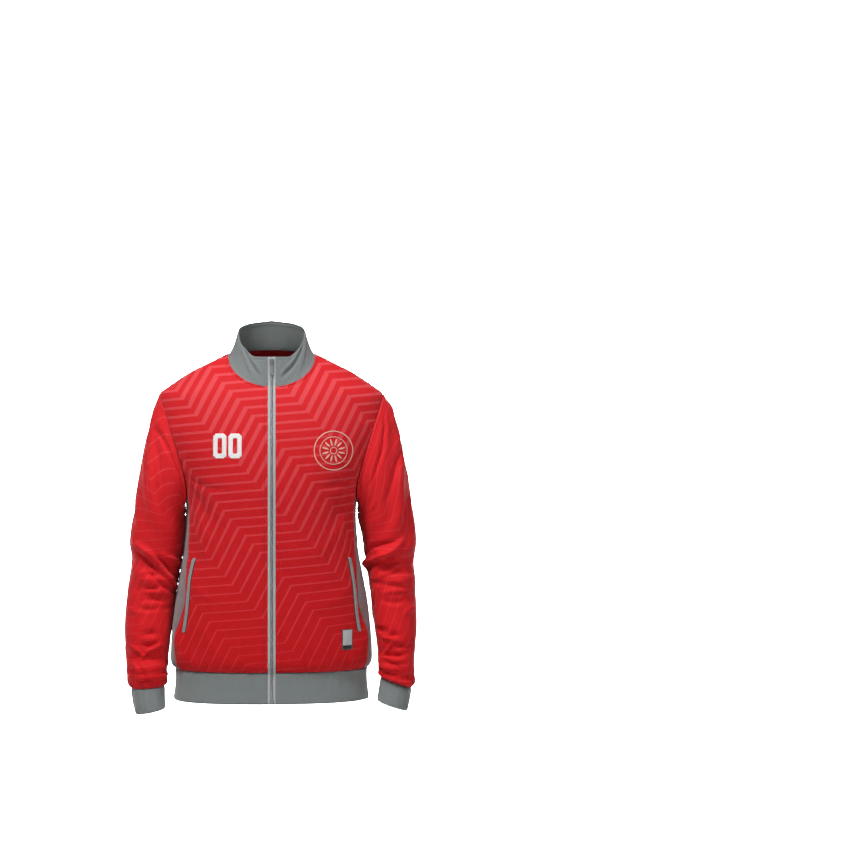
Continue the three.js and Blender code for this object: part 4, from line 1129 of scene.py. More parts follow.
def knit_bump(tree, shader, across, up, depth, mottle=0.5):
    """Rows of loops on the cloth's own map, and the slight unevenness of worn knit. Across and up are
    the pitch of the loops, and depth is how far they stand out, in millimetres."""
    place = put(tree, "ShaderNodeUVMap", uv_map="cloth").outputs[0]
    apart = put(tree, "ShaderNodeSeparateXYZ", {0: place})
    turns = {0: apart.outputs[0], 1: 2 * math.pi / (across * MM)}
    wales = put(tree, MATH, {0: put(tree, MATH, turns, operation="MULTIPLY").outputs[0]}, operation="SINE")
    turns = {0: apart.outputs[1], 1: 2 * math.pi / (up * MM)}
    courses = put(tree, MATH, {0: put(tree, MATH, turns, operation="MULTIPLY").outputs[0]}, operation="SINE")
    courses = put(tree, MATH, {0: courses.outputs[0], 1: 0.25}, operation="MULTIPLY").outputs[0]
    loops = put(tree, MATH, {0: wales.outputs[0], 1: 0.5, 2: courses}, operation="MULTIPLY_ADD").outputs[0]
    noise = put(tree, "ShaderNodeTexNoise", {"Vector": place, "Scale": 520.0, "Detail": 3.0}).outputs[0]
    height = put(tree, MATH, {0: noise, 1: mottle, 2: loops}, operation="MULTIPLY_ADD").outputs[0]
    bump = put(tree, "ShaderNodeBump", {"Strength": 1.0, "Distance": depth * MM, "Height": height})
    tree.links.new(bump.outputs[0], shader.inputs["Normal"])
    return place, apart, noise


def plain_knit(name, colour, shade, across, up, depth, roughness=0.85, sheen=0.25):
    """Knit of one colour: its fine loops break the light and its fuzz lifts the edges."""
    material, tree, shader = new_material(name)
    set_shader(shader, Roughness=roughness, Sheen_Weight=sheen, Sheen_Roughness=0.5, Specular_IOR_Level=0.25)
    _, _, noise = knit_bump(tree, shader, across, up, depth)
    patchy = put(tree, "ShaderNodeMapRange", {0: noise, 1: 0.35, 2: 0.65}).outputs[0]
    mottled = put(tree, MIX, {0: patchy, 6: linear(shade), 7: linear(colour)}, data_type="RGBA").outputs[2]
    tree.links.new(mottled, shader.inputs["Base Color"])
    return material


def striped_knit(name, settings, strength, thin, lift=1.0):
    """Red knit with the tone-on-tone zigzag: pale lines, broad at the top and fine at the hem. Its reds and
    pale lines darken towards the hem, partly the print's own fade and partly painted shade of light from
    above, and a lift above 1 brightens the colour as painted light.
    """
    material, tree, shader = new_material(name)
    set_shader(shader, Roughness=0.74, Sheen_Weight=0.06, Sheen_Roughness=0.45, Specular_IOR_Level=0.22)
    place, apart, noise = knit_bump(tree, shader, 1.5, 1.3, 0.12)
    drift = put(tree, "ShaderNodeVectorMath", {0: place, 1: (0.0491, 0.105, 0)}, operation="ADD").outputs[0]
    a_way = (15.8 / 3482 / MM, 14.3 / 3482 / MM, 0)
    b_way = (-85.5 / 3482 / MM, 143 / 3482 / MM, 0)
    a = put(tree, "ShaderNodeVectorMath", {0: drift, 1: a_way}, operation="DOT_PRODUCT").outputs[1]
    b = put(tree, "ShaderNodeVectorMath", {0: drift, 1: b_way}, operation="DOT_PRODUCT").outputs[1]
    zigzag = put(tree, MATH, {0: a, 1: 0.5}, operation="PINGPONG").outputs[0]
    line = put(tree, MATH, {0: zigzag, 1: 4.354, 2: b}, operation="MULTIPLY_ADD").outputs[0]
    off = put(tree, MATH, {0: line, 1: 0.5}, operation="PINGPONG").outputs[0]
    way = put(tree, MATH, {0: a}, operation="FRACT").outputs[0]
    steep = put(tree, MATH, {0: way, 1: 0.5}, operation="GREATER_THAN").outputs[0]
    print_fade_and_shade = put(tree, "ShaderNodeMapRange", {0: apart.outputs[1], 1: -0.08, 2: -0.6}).outputs[0]
    down = print_fade_and_shade if thin is None else thin
    flat_half = {0: down, 3: settings.flat_top / 2, 4: settings.flat_hem / 2}
    steep_half = {0: down, 3: settings.steep_top / 2, 4: settings.steep_hem / 2}
    widths = {2: put(tree, "ShaderNodeMapRange", flat_half).outputs[0]}
    widths[3] = put(tree, "ShaderNodeMapRange", steep_half).outputs[0]
    half = put(tree, MIX, {0: steep, **widths}, data_type="FLOAT").outputs[0]
    inside = put(tree, MATH, {0: half, 1: off}, operation="SUBTRACT").outputs[0]
    stripe = put(tree, "ShaderNodeMapRange", {0: inside, 1: -0.02, 2: 0.02, 3: 0.0, 4: strength}).outputs[0]
    # Reds and pale lines darken towards the hem: partly the print's own fade, partly painted shade of light
    # from above.
    reds = {6: linear(settings.base_top), 7: linear(settings.base_hem)}
    base = put(tree, MIX, {0: print_fade_and_shade, **reds}, data_type="RGBA").outputs[2]
    pales = {6: linear(settings.stripe_top), 7: linear(settings.stripe_hem)}
    pale = put(tree, MIX, {0: print_fade_and_shade, **pales}, data_type="RGBA").outputs[2]
    colour = put(tree, MIX, {0: stripe, 6: base, 7: pale}, data_type="RGBA").outputs[2]
    # Random tone of the knit, scaled by lift: a lift above 1 brightens the whole colour as painted light.
    tone_and_painted_light = {0: noise, 1: 0.3, 2: 0.7, 3: 0.9 * lift, 4: 1.06 * lift}
    tone_and_light_gain = put(tree, "ShaderNodeMapRange", tone_and_painted_light).outputs[0]
    worn = put(tree, "ShaderNodeVectorMath", {0: colour, 3: tone_and_light_gain}, operation="SCALE").outputs[0]
    tree.links.new(worn, shader.inputs["Base Color"])
    return material


def grained(name, colour, shade, roughness, grain, depth, **more):
    """A hard or smooth material: its colour, gloss and height vary a little over grains of a size."""
    material, tree, shader = new_material(name)
    set_shader(shader, **more)
    place = put(tree, "ShaderNodeTexCoord").outputs["Object"]
    noise = put(tree, "ShaderNodeTexNoise", {"Vector": place, "Scale": 1 / (grain * MM), "Detail": 4.0})
    patchy = put(tree, "ShaderNodeMapRange", {0: noise.outputs[0], 1: 0.35, 2: 0.65}).outputs[0]
    mottled = put(tree, MIX, {0: patchy, 6: linear(shade), 7: linear(colour)}, data_type="RGBA").outputs[2]
    tree.links.new(mottled, shader.inputs["Base Color"])
    gloss = {0: noise.outputs[0], 1: 0.3, 2: 0.7, 3: roughness - 0.06, 4: roughness + 0.06}
    tree.links.new(put(tree, "ShaderNodeMapRange", gloss).outputs[0], shader.inputs["Roughness"])
    bump = put(tree, "ShaderNodeBump", {"Strength": 1.0, "Distance": depth * MM, "Height": noise.outputs[0]})
    tree.links.new(bump.outputs[0], shader.inputs["Normal"])
    return material


def label_weave(name):
    """Woven label: silver satin with a dark foot, whose floats catch the light in rows."""
    material, tree, shader = new_material(name)
    set_shader(shader, Roughness=0.5, Sheen_Weight=0.2)
    _, apart, _ = knit_bump(tree, shader, 0.8, 0.8, 0.06, 0.2)
    right, up = apart.outputs[:2]
    foot_z, top_z = LABEL_Z - 0.56 * LABEL_HALF_HEIGHT, LABEL_Z + LABEL_HALF_HEIGHT - LABEL_BORDER
    foot = put(tree, MATH, {0: up, 1: foot_z * MM}, operation="LESS_THAN").outputs[0]
    top = put(tree, MATH, {0: up, 1: top_z * MM}, operation="GREATER_THAN").outputs[0]
    off = put(tree, MATH, {0: right, 1: LABEL_X * MM}, operation="SUBTRACT").outputs[0]
    off = put(tree, MATH, {0: off}, operation="ABSOLUTE").outputs[0]
    edge_x = (LABEL_HALF_WIDTH - LABEL_BORDER) * MM
    edge = put(tree, MATH, {0: off, 1: edge_x}, operation="GREATER_THAN").outputs[0]
    ends = put(tree, MATH, {0: foot, 1: top}, operation="MAXIMUM").outputs[0]
    dark = put(tree, MATH, {0: ends, 1: edge}, operation="MAXIMUM").outputs[0]
    shades = {6: linear("#B4B7B8"), 7: linear("#1C1C1F")}
    colour = put(tree, MIX, {0: dark, **shades}, data_type="RGBA").outputs[2]
    tree.links.new(colour, shader.inputs["Base Color"])
    return material


# What repeats along a line
def pieces_along():
    """The node group that sets a piece at even steps along lines that carry an outward direction."""
    tree = bpy.data.node_groups.new("Pieces along a line", "GeometryNodeTree")
    tree.interface.new_socket("Geometry", in_out="INPUT", socket_type="NodeSocketGeometry")
    for name, kind in (("Spacing", "Float"), ("Piece", "Object"), ("Material", "Material")):
        tree.interface.new_socket(name, in_out="INPUT", socket_type="NodeSocket" + kind)
    tree.interface.new_socket("Geometry", in_out="OUTPUT", socket_type="NodeSocketGeometry")
    given = put(tree, "NodeGroupInput").outputs
    curve = put(tree, "GeometryNodeMeshToCurve", {0: given["Geometry"]}).outputs[0]
    points = put(tree, "GeometryNodeCurveToPoints", {0: curve, "Length": given["Spacing"]}, mode="LENGTH")
    out = put(tree, "GeometryNodeInputNamedAttribute", {"Name": "out"}, data_type="FLOAT_VECTOR").outputs[0]
    turned = put(tree, "FunctionNodeAxesToRotation", {0: out, 1: points.outputs["Tangent"]})
    turned.primary_axis, turned.secondary_axis = "Z", "Y"
    piece = put(tree, "GeometryNodeObjectInfo", {"Object": given["Piece"]}).outputs["Geometry"]
    on_points = {"Points": points.outputs["Points"], "Instance": piece, "Rotation": turned.outputs[0]}
    placed = put(tree, "GeometryNodeInstanceOnPoints", on_points).outputs[0]
    real = put(tree, "GeometryNodeRealizeInstances", {0: placed}).outputs[0]
    done = put(tree, "GeometryNodeSetMaterial", {"Geometry": real, "Material": given["Material"]}).outputs[0]
    put(tree, "NodeGroupOutput", {0: done})
    return tree


def line_object(name, lines):
    """Open lines as one mesh of edges, each point with its outward direction. Lines are (points, outs)."""
    points = np.concatenate([line for line, _ in lines])
    outs = np.concatenate([out for _, out in lines])
    edges, start = [], 0
    for line, _ in lines:
        edges += [(start + i, start + i + 1) for i in range(len(line) - 1)]
        start += len(line)
    mesh = bpy.data.meshes.new(name)
    mesh.from_pydata((points * MM).tolist(), edges, [])
    attribute = mesh.attributes.new("out", "FLOAT_VECTOR", "POINT")
    attribute.data.foreach_set("vector", outs.astype(np.float32).ravel())
    obj = bpy.data.objects.new(name, mesh)
    bpy.context.collection.objects.link(obj)
    return obj


def repeat_along(name, lines, piece, spacing, material):
    """One plain mesh of pieces set along lines."""
    obj = line_object(name, lines)
    tree = pieces_along()
    modifier = obj.modifiers.new("Pieces", "NODES")
    modifier.node_group = tree
    sockets = {s.name: s.identifier for s in tree.interface.items_tree if s.in_out == "INPUT"}
    modifier[sockets["Spacing"]] = spacing * MM
    modifier[sockets["Piece"]] = piece
    modifier[sockets["Material"]] = material
    bpy.context.view_layer.update()
    evaluated = obj.evaluated_get(bpy.context.evaluated_depsgraph_get())
    mesh = bpy.data.meshes.new_from_object(evaluated)
    obj.modifiers.clear()
    bpy.data.node_groups.remove(tree)
    mesh.name = name
    mesh.shade_smooth()
    old = obj.data
    obj.data = mesh
    bpy.data.meshes.remove(old)
    if len(mesh.polygons) < 10:
        raise RuntimeError(f"{name} came out empty")
    return obj


def remove_object(obj):
    """Takes a helper object and its mesh out again."""
    mesh = obj.data
    bpy.data.objects.remove(obj)
    bpy.data.meshes.remove(mesh)


def bead(name, half, sides=8, rings=5):
    """A small rounded grain, half-sizes across, along and up."""
    theta = np.linspace(0, np.pi, rings + 2)[1:-1]
    phi = np.arange(sides) * 2 * np.pi / sides
    t, p = np.meshgrid(theta, phi, indexing="ij")
    body = np.stack([np.sin(t) * np.cos(p), -np.cos(t), np.sin(t) * np.sin(p)], -1).reshape(-1, 3)
    points = np.concatenate([body, [(0, -1, 0), (0, 1, 0)]]) * half
    faces = []
    for r in range(rings - 1):
        for c in range(sides):
            d = (c + 1) % sides
            faces.append((r * sides + c, (r + 1) * sides + c, (r + 1) * sides + d, r * sides + d))
    low, high = rings * sides, rings * sides + 1
    faces += [(low, c, (c + 1) % sides) for c in range(sides)]
    last = (rings - 1) * sides
    faces += [(high, last + (c + 1) % sides, last + c) for c in range(sides)]
    mesh = bpy.data.meshes.new(name)
    mesh.from_pydata((points * MM).tolist(), [], faces)
    mesh.update()
    if sum(f.normal.dot(f.center) for f in mesh.polygons) < 0:
        mesh.flip_normals()
    obj = bpy.data.objects.new(name, mesh)
    bpy.context.collection.objects.link(obj)
    return obj


def tooth(name, half, lip=0.3):
    """One zip tooth: a block with eased edges, half-sizes across, along and up."""
    w, l, h = half
    points = []
    for z, ease in ((-h, 0), (h - lip, 0), (h, lip)):
        points += [(x * (w - ease), y * (l - ease), z) for x, y in ((-1, -1), (1, -1), (1, 1), (-1, 1))]
    faces = [(3, 2, 1, 0), (8, 9, 10, 11)]
    for r in (0, 4):
        faces += [(r + c, r + (c + 1) % 4, r + 4 + (c + 1) % 4, r + 4 + c) for c in range(4)]
    mesh = bpy.data.meshes.new(name)
    mesh.from_pydata((np.array(points) * MM).tolist(), [], faces)
    obj = bpy.data.objects.new(name, mesh)
    bpy.context.collection.objects.link(obj)
    return obj


def eased_copy(name, node, width, material):
    """A copy of a hard CAD piece, merged, with its edges eased."""
    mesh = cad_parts[node].data.copy()
    mesh.name = name
    obj = bpy.data.objects.new(name, mesh)
    bpy.context.collection.objects.link(obj)
    weld = obj.modifiers.new("Weld", "WELD")
    weld.merge_threshold = 0.00002
    flat = obj.modifiers.new("Flat", "DECIMATE")
    flat.decimate_type = "DISSOLVE"
    flat.angle_limit = math.radians(2)
    bevel = obj.modifiers.new("Bevel", "BEVEL")
    bevel.width = width * MM
    bevel.segments = 3
    bevel.limit_method = "ANGLE"
    bevel.angle_limit = math.radians(35)
    bpy.context.view_layer.update()
    made = bpy.data.meshes.new_from_object(obj.evaluated_get(bpy.context.evaluated_depsgraph_get()))
    obj.modifiers.clear()
    obj.data = made
    bpy.data.meshes.remove(mesh)
    made.materials.clear()
    made.materials.append(material)
    made.shade_smooth()
    made.set_sharp_from_angle(angle=math.radians(35))
    return obj


# Settings
class JacketCloth(bpy.types.PropertyGroup):
    """How the cloth is made."""

    cell: bpy.props.FloatProperty(
        name="Cell", description="Size of a cell of the cloth", default=3.2 * MM, unit="LENGTH"
    )
    knit: bpy.props.FloatProperty(
        name="Knit", description="Thickness of the red and grey knit", default=1.2 * MM, unit="LENGTH"
    )
    rib: bpy.props.FloatProperty(
        name="Rib", description="Thickness of the double rib", default=2.4 * MM, unit="LENGTH"
    )
    creases: bpy.props.FloatProperty(
        name="Creases", description="How deep the sleeves' fine creases are", default=3.3, subtype="FACTOR"
    )
    print_lift: bpy.props.FloatProperty(
        name="Print lift", description="Height of the prints off the cloth", default=0.4 * MM, unit="LENGTH"
    )


class JacketStripes(bpy.types.PropertyGroup):
    """The zigzag on the red knit. Widths are parts of the stripes' spacing."""

    # The hem reds are darker than the neck reds partly by the print's fade and partly as painted shade.
    base_top: bpy.props.StringProperty(name="Base top", description="Red by the neck", default="#D01A22")
    base_hem: bpy.props.StringProperty(name="Base hem", description="Red by the hem", default="#C4050F")
    stripe_top: bpy.props.StringProperty(
        name="Stripe top", description="Stripe by the neck", default="#DA444A"
    )
    stripe_hem: bpy.props.StringProperty(
        name="Stripe hem", description="Stripe by the hem", default="#D02630"
    )
    flat_top: bpy.props.FloatProperty(
        name="Flat top", description="Width of a flat run by the neck", default=0.3, subtype="FACTOR"
    )
    flat_hem: bpy.props.FloatProperty(
        name="Flat hem", description="Width of a flat run by the hem", default=0.095, subtype="FACTOR"
    )
    steep_top: bpy.props.FloatProperty(
        name="Steep top", description="Width of a steep run by the neck", default=0.48, subtype="FACTOR"
    )
    steep_hem: bpy.props.FloatProperty(
        name="Steep hem", description="Width of a steep run by the hem", default=0.1, subtype="FACTOR"
    )


class JacketSewing(bpy.types.PropertyGroup):
    """Stitches and zip teeth."""

    stitch_step: bpy.props.FloatProperty(
        name="Stitch step", description="From one stitch to the next", default=3.1 * MM, unit="LENGTH"
    )
    tooth_step: bpy.props.FloatProperty(
        name="Tooth step", description="From one tooth to the next on a side", default=2.5 * MM, unit="LENGTH"
    )


class JacketStage(bpy.types.PropertyGroup):
    """Camera and light."""

    distance: bpy.props.FloatProperty(
        name="Distance", description="From the camera to the jacket", default=4.5, unit="LENGTH"
    )
    height: bpy.props.FloatProperty(
        name="Height", description="The camera's height over the neck", default=-0.138, unit="LENGTH"
    )
    pan: bpy.props.FloatProperty(
        name="Pan", description="Turn to the right, which places the jacket", default=math.radians(3.818),
        subtype="ANGLE",
    )
    lens: bpy.props.FloatProperty(name="Lens", description="Focal length in millimetres", default=97.3)
    world: bpy.props.FloatProperty(name="World", description="Strength of the light all round", default=0.06)
    key: bpy.props.FloatProperty(
        name="Key", description="Power of the key light", default=134, subtype="POWER"
    )
    back: bpy.props.FloatProperty(
        name="Back", description="Power of each light on the backdrop", default=420, subtype="POWER"
    )


def cloth_piece(obj, nodes, body=JACKET_BODY):
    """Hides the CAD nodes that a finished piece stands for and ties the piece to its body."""
    if nodes:
        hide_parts(*nodes)
    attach(obj, body)
    return obj


def made(name):
    """An object made earlier, or an error that names what is missing."""
    obj = bpy.data.objects.get(name)
    if obj is None:
        raise RuntimeError(f"{name} isn't made yet")
    return obj


class JACKET_OT_body(bpy.types.Operator):
    """Makes the fronts, the back and the side panels"""

    bl_idname = "jacket.body"
    bl_label = "Body panels"

    def execute(self, context):
        """Builds the five panels."""
        cloth, stripes = context.scene.jacket_cloth, context.scene.jacket_stripes
        step, knit = cloth.cell / MM, cloth.knit / MM
        red = striped_knit("Red sublimated knit", stripes, 1.0, None)
        reverse = plain_knit("Red knit reverse", "#B9141B", "#A90F17", 1.5, 1.3, 0.12)
        # Matt brushed grey, a little warm: it reads as a softer cloth than the ribs.
        grey = plain_knit("Grey panel knit", "#827A7D", "#797174", 1.4, 1.2, 0.12)
        for name, side in SIDES.items():
            half = half_panel(False, side, step, front_relief)
            front = shell(f"cloth_front_{name}", [half], knit, [red, reverse])
            cloth_piece(front, [f"front_{name}"])
            panel = shell(f"cloth_side_{name}", [side_panel_patch(side, step)], knit, [grey])
            cloth_piece(panel, [f"side_panel_{name}"])
        halves = [half_panel(True, side, step, back_relief) for side in (1, -1)]
        back = shell("cloth_back", halves, knit, [red, reverse])
        cloth_piece(back, ["back"])
        return {"FINISHED"}


class JACKET_OT_sleeves(bpy.types.Operator):
    """Makes the two sleeves"""

    bl_idname = "jacket.sleeves"
    bl_label = "Sleeves"

    def execute(self, context):
        """Builds the sleeves with their creases."""
        cloth, stripes = context.scene.jacket_cloth, context.scene.jacket_stripes
        # The sleeves get a lit copy of the knit: lift 1.12 brightens its colour as painted light.
        red = striped_knit("Red sublimated knit, sleeves with painted light", stripes, 0.4, 0.95, 1.12)
        reverse = made("cloth_back").data.materials[1]
        for name in SIDES:
            grid = Sleeve(name, cloth.creases).patch(cloth.cell / MM)
            core = grid["points"].mean(1, keepdims=True)
            middle = np.repeat((core[:-1] + core[1:]) / 2, grid["points"].shape[1] - 1, 1).reshape(-1, 3)
            obj = shell(f"cloth_sleeve_{name}", [grid], cloth.knit / MM, [red, reverse], middle)
            cloth_piece(obj, [f"sleeve_{name}"])
        return {"FINISHED"}


class JACKET_OT_ribs(bpy.types.Operator):
    """Makes the collar, the band and the cuffs"""

    bl_idname = "jacket.ribs"
    bl_label = "Collar, band and cuffs"

    def execute(self, context):
        """Builds the four double-knit pieces."""
        cloth = context.scene.jacket_cloth
        step, rib = cloth.cell / MM, cloth.rib / MM
        # Fine 1x1 rib, drawn coarser than its real 1.4 mm pitch so that the ribs still show.
        grey = plain_knit("Grey rib knit", "#7F8585", "#777D7D", 2.6, 60, 0.3, 0.9, 0.15)
        cloth_piece(shell("cloth_band", [band_patch(step)], rib, [grey]), ["hem_band"])
        cloth_piece(shell("cloth_collar", [collar_patch(step * 0.8)], rib, [grey]), ["collar"])
        for name in SIDES:
            grid = cuff_patch(name, step * 0.9)
            core = grid["points"].mean(1, keepdims=True)
            middle = np.repeat((core[:-1] + core[1:]) / 2, grid["points"].shape[1] - 1, 1).reshape(-1, 3)
            obj = shell(f"cloth_cuff_{name}", [grid], rib, [grey], middle)
            cloth_piece(obj, [f"cuff_{name}"])
        return {"FINISHED"}


class JACKET_OT_zip(bpy.types.Operator):
    """Makes the zip's tapes, teeth, slider, pull and box"""

    bl_idname = "jacket.zip"
    bl_label = "Zip"

    def execute(self, context):
        """Builds the zip down the centre front."""
        sewing = context.scene.jacket_sewing
        # Woven polyester tape: matt, ribbed across, a light silver grey.
        tape = plain_knit("Woven zip tape", "#B4B8B9", "#A4A8A9", 4, 0.9, 0.12, 0.7, 0.15)
        # Nickel plate: it mirrors softly, with fine scratches that break the shine.
        steel = grained("Nickel-plated zip metal", "#A9ABAC", "#8F9192", 0.34, 0.7, 0.02, Metallic=1.0)
        z = np.linspace(BAND_BOTTOM_Z, COLLAR_TOP_FRONT_Z, 220)
        for name, side in SIDES.items():
            across = side * np.array([0.35, 1.3, 2.2, 2.8, 3.6, 4.6, 5.8, 7.2])
            grid = zip_strip(across, z, [-0.75, -0.75, -0.6, 0.05, 0.15, 0.1, 0, -0.2])
            obj = shell(f"woven_tape_{name}", [grid], 0.7, [tape])
            cloth_piece(obj, [f"zip_tape_{name}"])
        teeth, pitch = [], sewing.tooth_step / MM
        for side in (1, -1):
            low = BAND_BOTTOM_Z + BOX_HEIGHT + 1 + (pitch / 2 if side > 0 else 0)
            heights = np.arange(low, SLIDER_Z - 7.5, pitch)
            points, out = zip_frame(heights)
            points = points + out * 0.35
            points[:, 0] = side * 0.75
            teeth.append((points, out))
        block = tooth("one_tooth", (1.55, pitch * 0.21, 0.95))
        obj = repeat_along("zip_teeth", teeth, block, pitch, steel)
        remove_object(block)
        cloth_piece(obj, ["zip_chain"])
        cloth_piece(eased_copy("metal_slider", "zip_slider", 0.35, steel), ["zip_slider"])
        cloth_piece(eased_copy("metal_box", "zip_box", 0.35, steel), ["zip_box"])
        cloth_piece(eased_copy("metal_pull", "zip_pull", 0.3, steel), ["zip_pull"], PULL_BODY)
        return {"FINISHED"}


class JACKET_OT_trims(bpy.types.Operator):
    """Makes the pocket welts and the hem label"""

    bl_idname = "jacket.trims"
    bl_label = "Welts and label"

    def execute(self, context):
        """Lays the small pieces on the fronts."""
        welt = plain_knit("Grey welt knit", "#8E9595", "#828988", 1.6, 20, 0.15)
        # The pocket's mouth: a dark sheet of painted shadow beside each welt, where the slit lies in shade.
        mouth = plain_knit("Painted pocket shadow", "#5A1216", "#430C10", 1.5, 1.3, 0.12)
        satin = label_weave("Woven satin label")
        for name, side in SIDES.items():
            way = spread(152, 3)
            x, z = along(WELT_LINE, "down", "x", way), along(WELT_LINE, "down", "z", way)
            end = np.minimum(way, 1 - way) * 152
            half = 2.9 * np.sqrt(np.clip(1 - (1 - np.clip(end / 2.9, 0, 1)) ** 2, 0.02, 1))
            k = np.linspace(-1, 1, 9)[None]
            place_x, place_z = x[:, None] + k * half[:, None], z[:, None] - k * 0.27 * half[:, None]
            relief = 0.3 + 1.3 * (1 - k**4) + 0 * place_x
            grid = patch(on_front(side, place_x, place_z), (k * 2.9 + 0 * place_x, place_z), relief)
            obj = shell(f"sewn_welt_{name}", [grid], 1.2, [welt])
            cloth_piece(obj, [f"pocket_welt_{name}"])
            place_x = x[:, None] + (-3.6 + 0.9 * k) * (half[:, None] / 2.9)
            place_z = z[:, None] + 0 * place_x
            grid = patch(on_front(side, place_x, place_z), (k + 0 * place_x, place_z), 0.22)
            cloth_piece(shell(f"pocket_mouth_{name}", [grid], 0.2, [mouth]), [])
        u = LABEL_HALF_WIDTH * (2 * spread(2 * LABEL_HALF_WIDTH + 6, 2) - 1)[None]
        v = LABEL_HALF_HEIGHT * (2 * spread(2 * LABEL_HALF_HEIGHT, 2) - 1)[:, None]
        place_x, place_z = np.broadcast_arrays(LABEL_X + u, LABEL_Z + v)
        points = on_front(1, place_x, place_z)
        first, last, low, top = edge_distances(points)
        edge = np.minimum(np.minimum(first, last), np.minimum(low, top))
        relief = 0.75 - 0.4 * np.exp(-((edge / 1.4) ** 2)) + 0 * place_x
        obj = shell("woven_label", [patch(points, (place_x, place_z), relief)], 0.5, [satin])
        cloth_piece(obj, ["hem_label"])
        return {"FINISHED"}


class JACKET_OT_prints(bpy.types.Operator):
    """Makes the plain numbers and the generic crest"""

    bl_idname = "jacket.prints"
    bl_label = "Prints"

    def execute(self, context):
        """Lays the heat-pressed prints on the cloth."""
        lift = context.scene.jacket_cloth.print_lift / MM
        # Heat-pressed vinyl: smooth and a little brighter than the knit round it.
        white = grained("White heat-press film", "#ECEAE9", "#E0DDDC", 0.55, 1.3, 0.05)
        crest = grained("Pale crest film", "#EDBFAC", "#E2AE99", 0.6, 1.3, 0.05)
        steps = [16, 7, 28, 7]
        grids = []
        for x in (-73, 73):
            outline = chamfered(x, -278.5, 61.5, 114.5, 24, steps)
            inside = chamfered(x, -278.5, 20.5, 73.5, 9, steps)
            grids.append(between(on_back, outline, inside, 13, lift))
        number = shell("print_back_number", grids, 0.25, [white])
        cloth_piece(number, [])
        grids = []
        for x in (-98.5, -69.5):
            outline = chamfered(-x, -178, 12.5, 23.5, 5, [8, 4, 14, 4])
            inside = chamfered(-x, -178, 4.3, 15, 2, [8, 4, 14, 4])
            grids.append(between(lambda a, b: on_front(-1, a, b), outline, inside, 5, lift))
        chest = shell("print_chest_number", grids, 0.25, [white])
        cloth_piece(chest, [])
        centre = (118, -187)
        front = lambda a, b: on_front(1, a, b)
        grids = [
            between(front, circle(*centre, r + w), circle(*centre, r), 2, lift)
            for r, w in ((36.3, 1.6), (25.6, 1.2), (5.6, 1.2))
        ]
        for k in range(12):
            angle = math.radians(30 * k + 15)
            way = np.array([math.cos(angle), math.sin(angle)])
            across = np.array([-way[1], way[0]])
            r = np.linspace(9.5, 22.5, 7)[:, None, None]
            half = 1.5 * np.sin(np.pi * np.linspace(0.1, 0.9, 7))[:, None, None]
            place = np.array(centre) + way * r + across * half * np.array([-1, 0, 1])[None, :, None]
            grids.append(patch(front(place[..., 0], place[..., 1]), (place[..., 0], place[..., 1]), lift))
        badge = shell("print_crest", grids, 0.25, [crest])
        cloth_piece(badge, [])
        return {"FINISHED"}


def sewn_line(cloth, surface, u, v, steps=(0.01, 1), core=None, lift=0.1):
    """A line of stitches that lies on a finished piece, as (points, outs). The surface gives the
    piece's form, and a ray from 8 mm outside finds the cloth."""
    u, v = np.broadcast_arrays(np.asarray(u, float), np.asarray(v, float))
    points = surface(u, v)
    inside = points * (0, 0, 1) if core is None else core
    out = normal_of(surface, u, v, *steps, points - inside)
    for i, (point, way) in enumerate(zip(points, out)):
        start = Vector((point + 8 * way) * MM)
        hit, place, _, _ = made(cloth).ray_cast(start, Vector(-way), distance=16 * MM)
        if hit:
            points[i] = np.array(place) / MM
    return points + out * lift, out


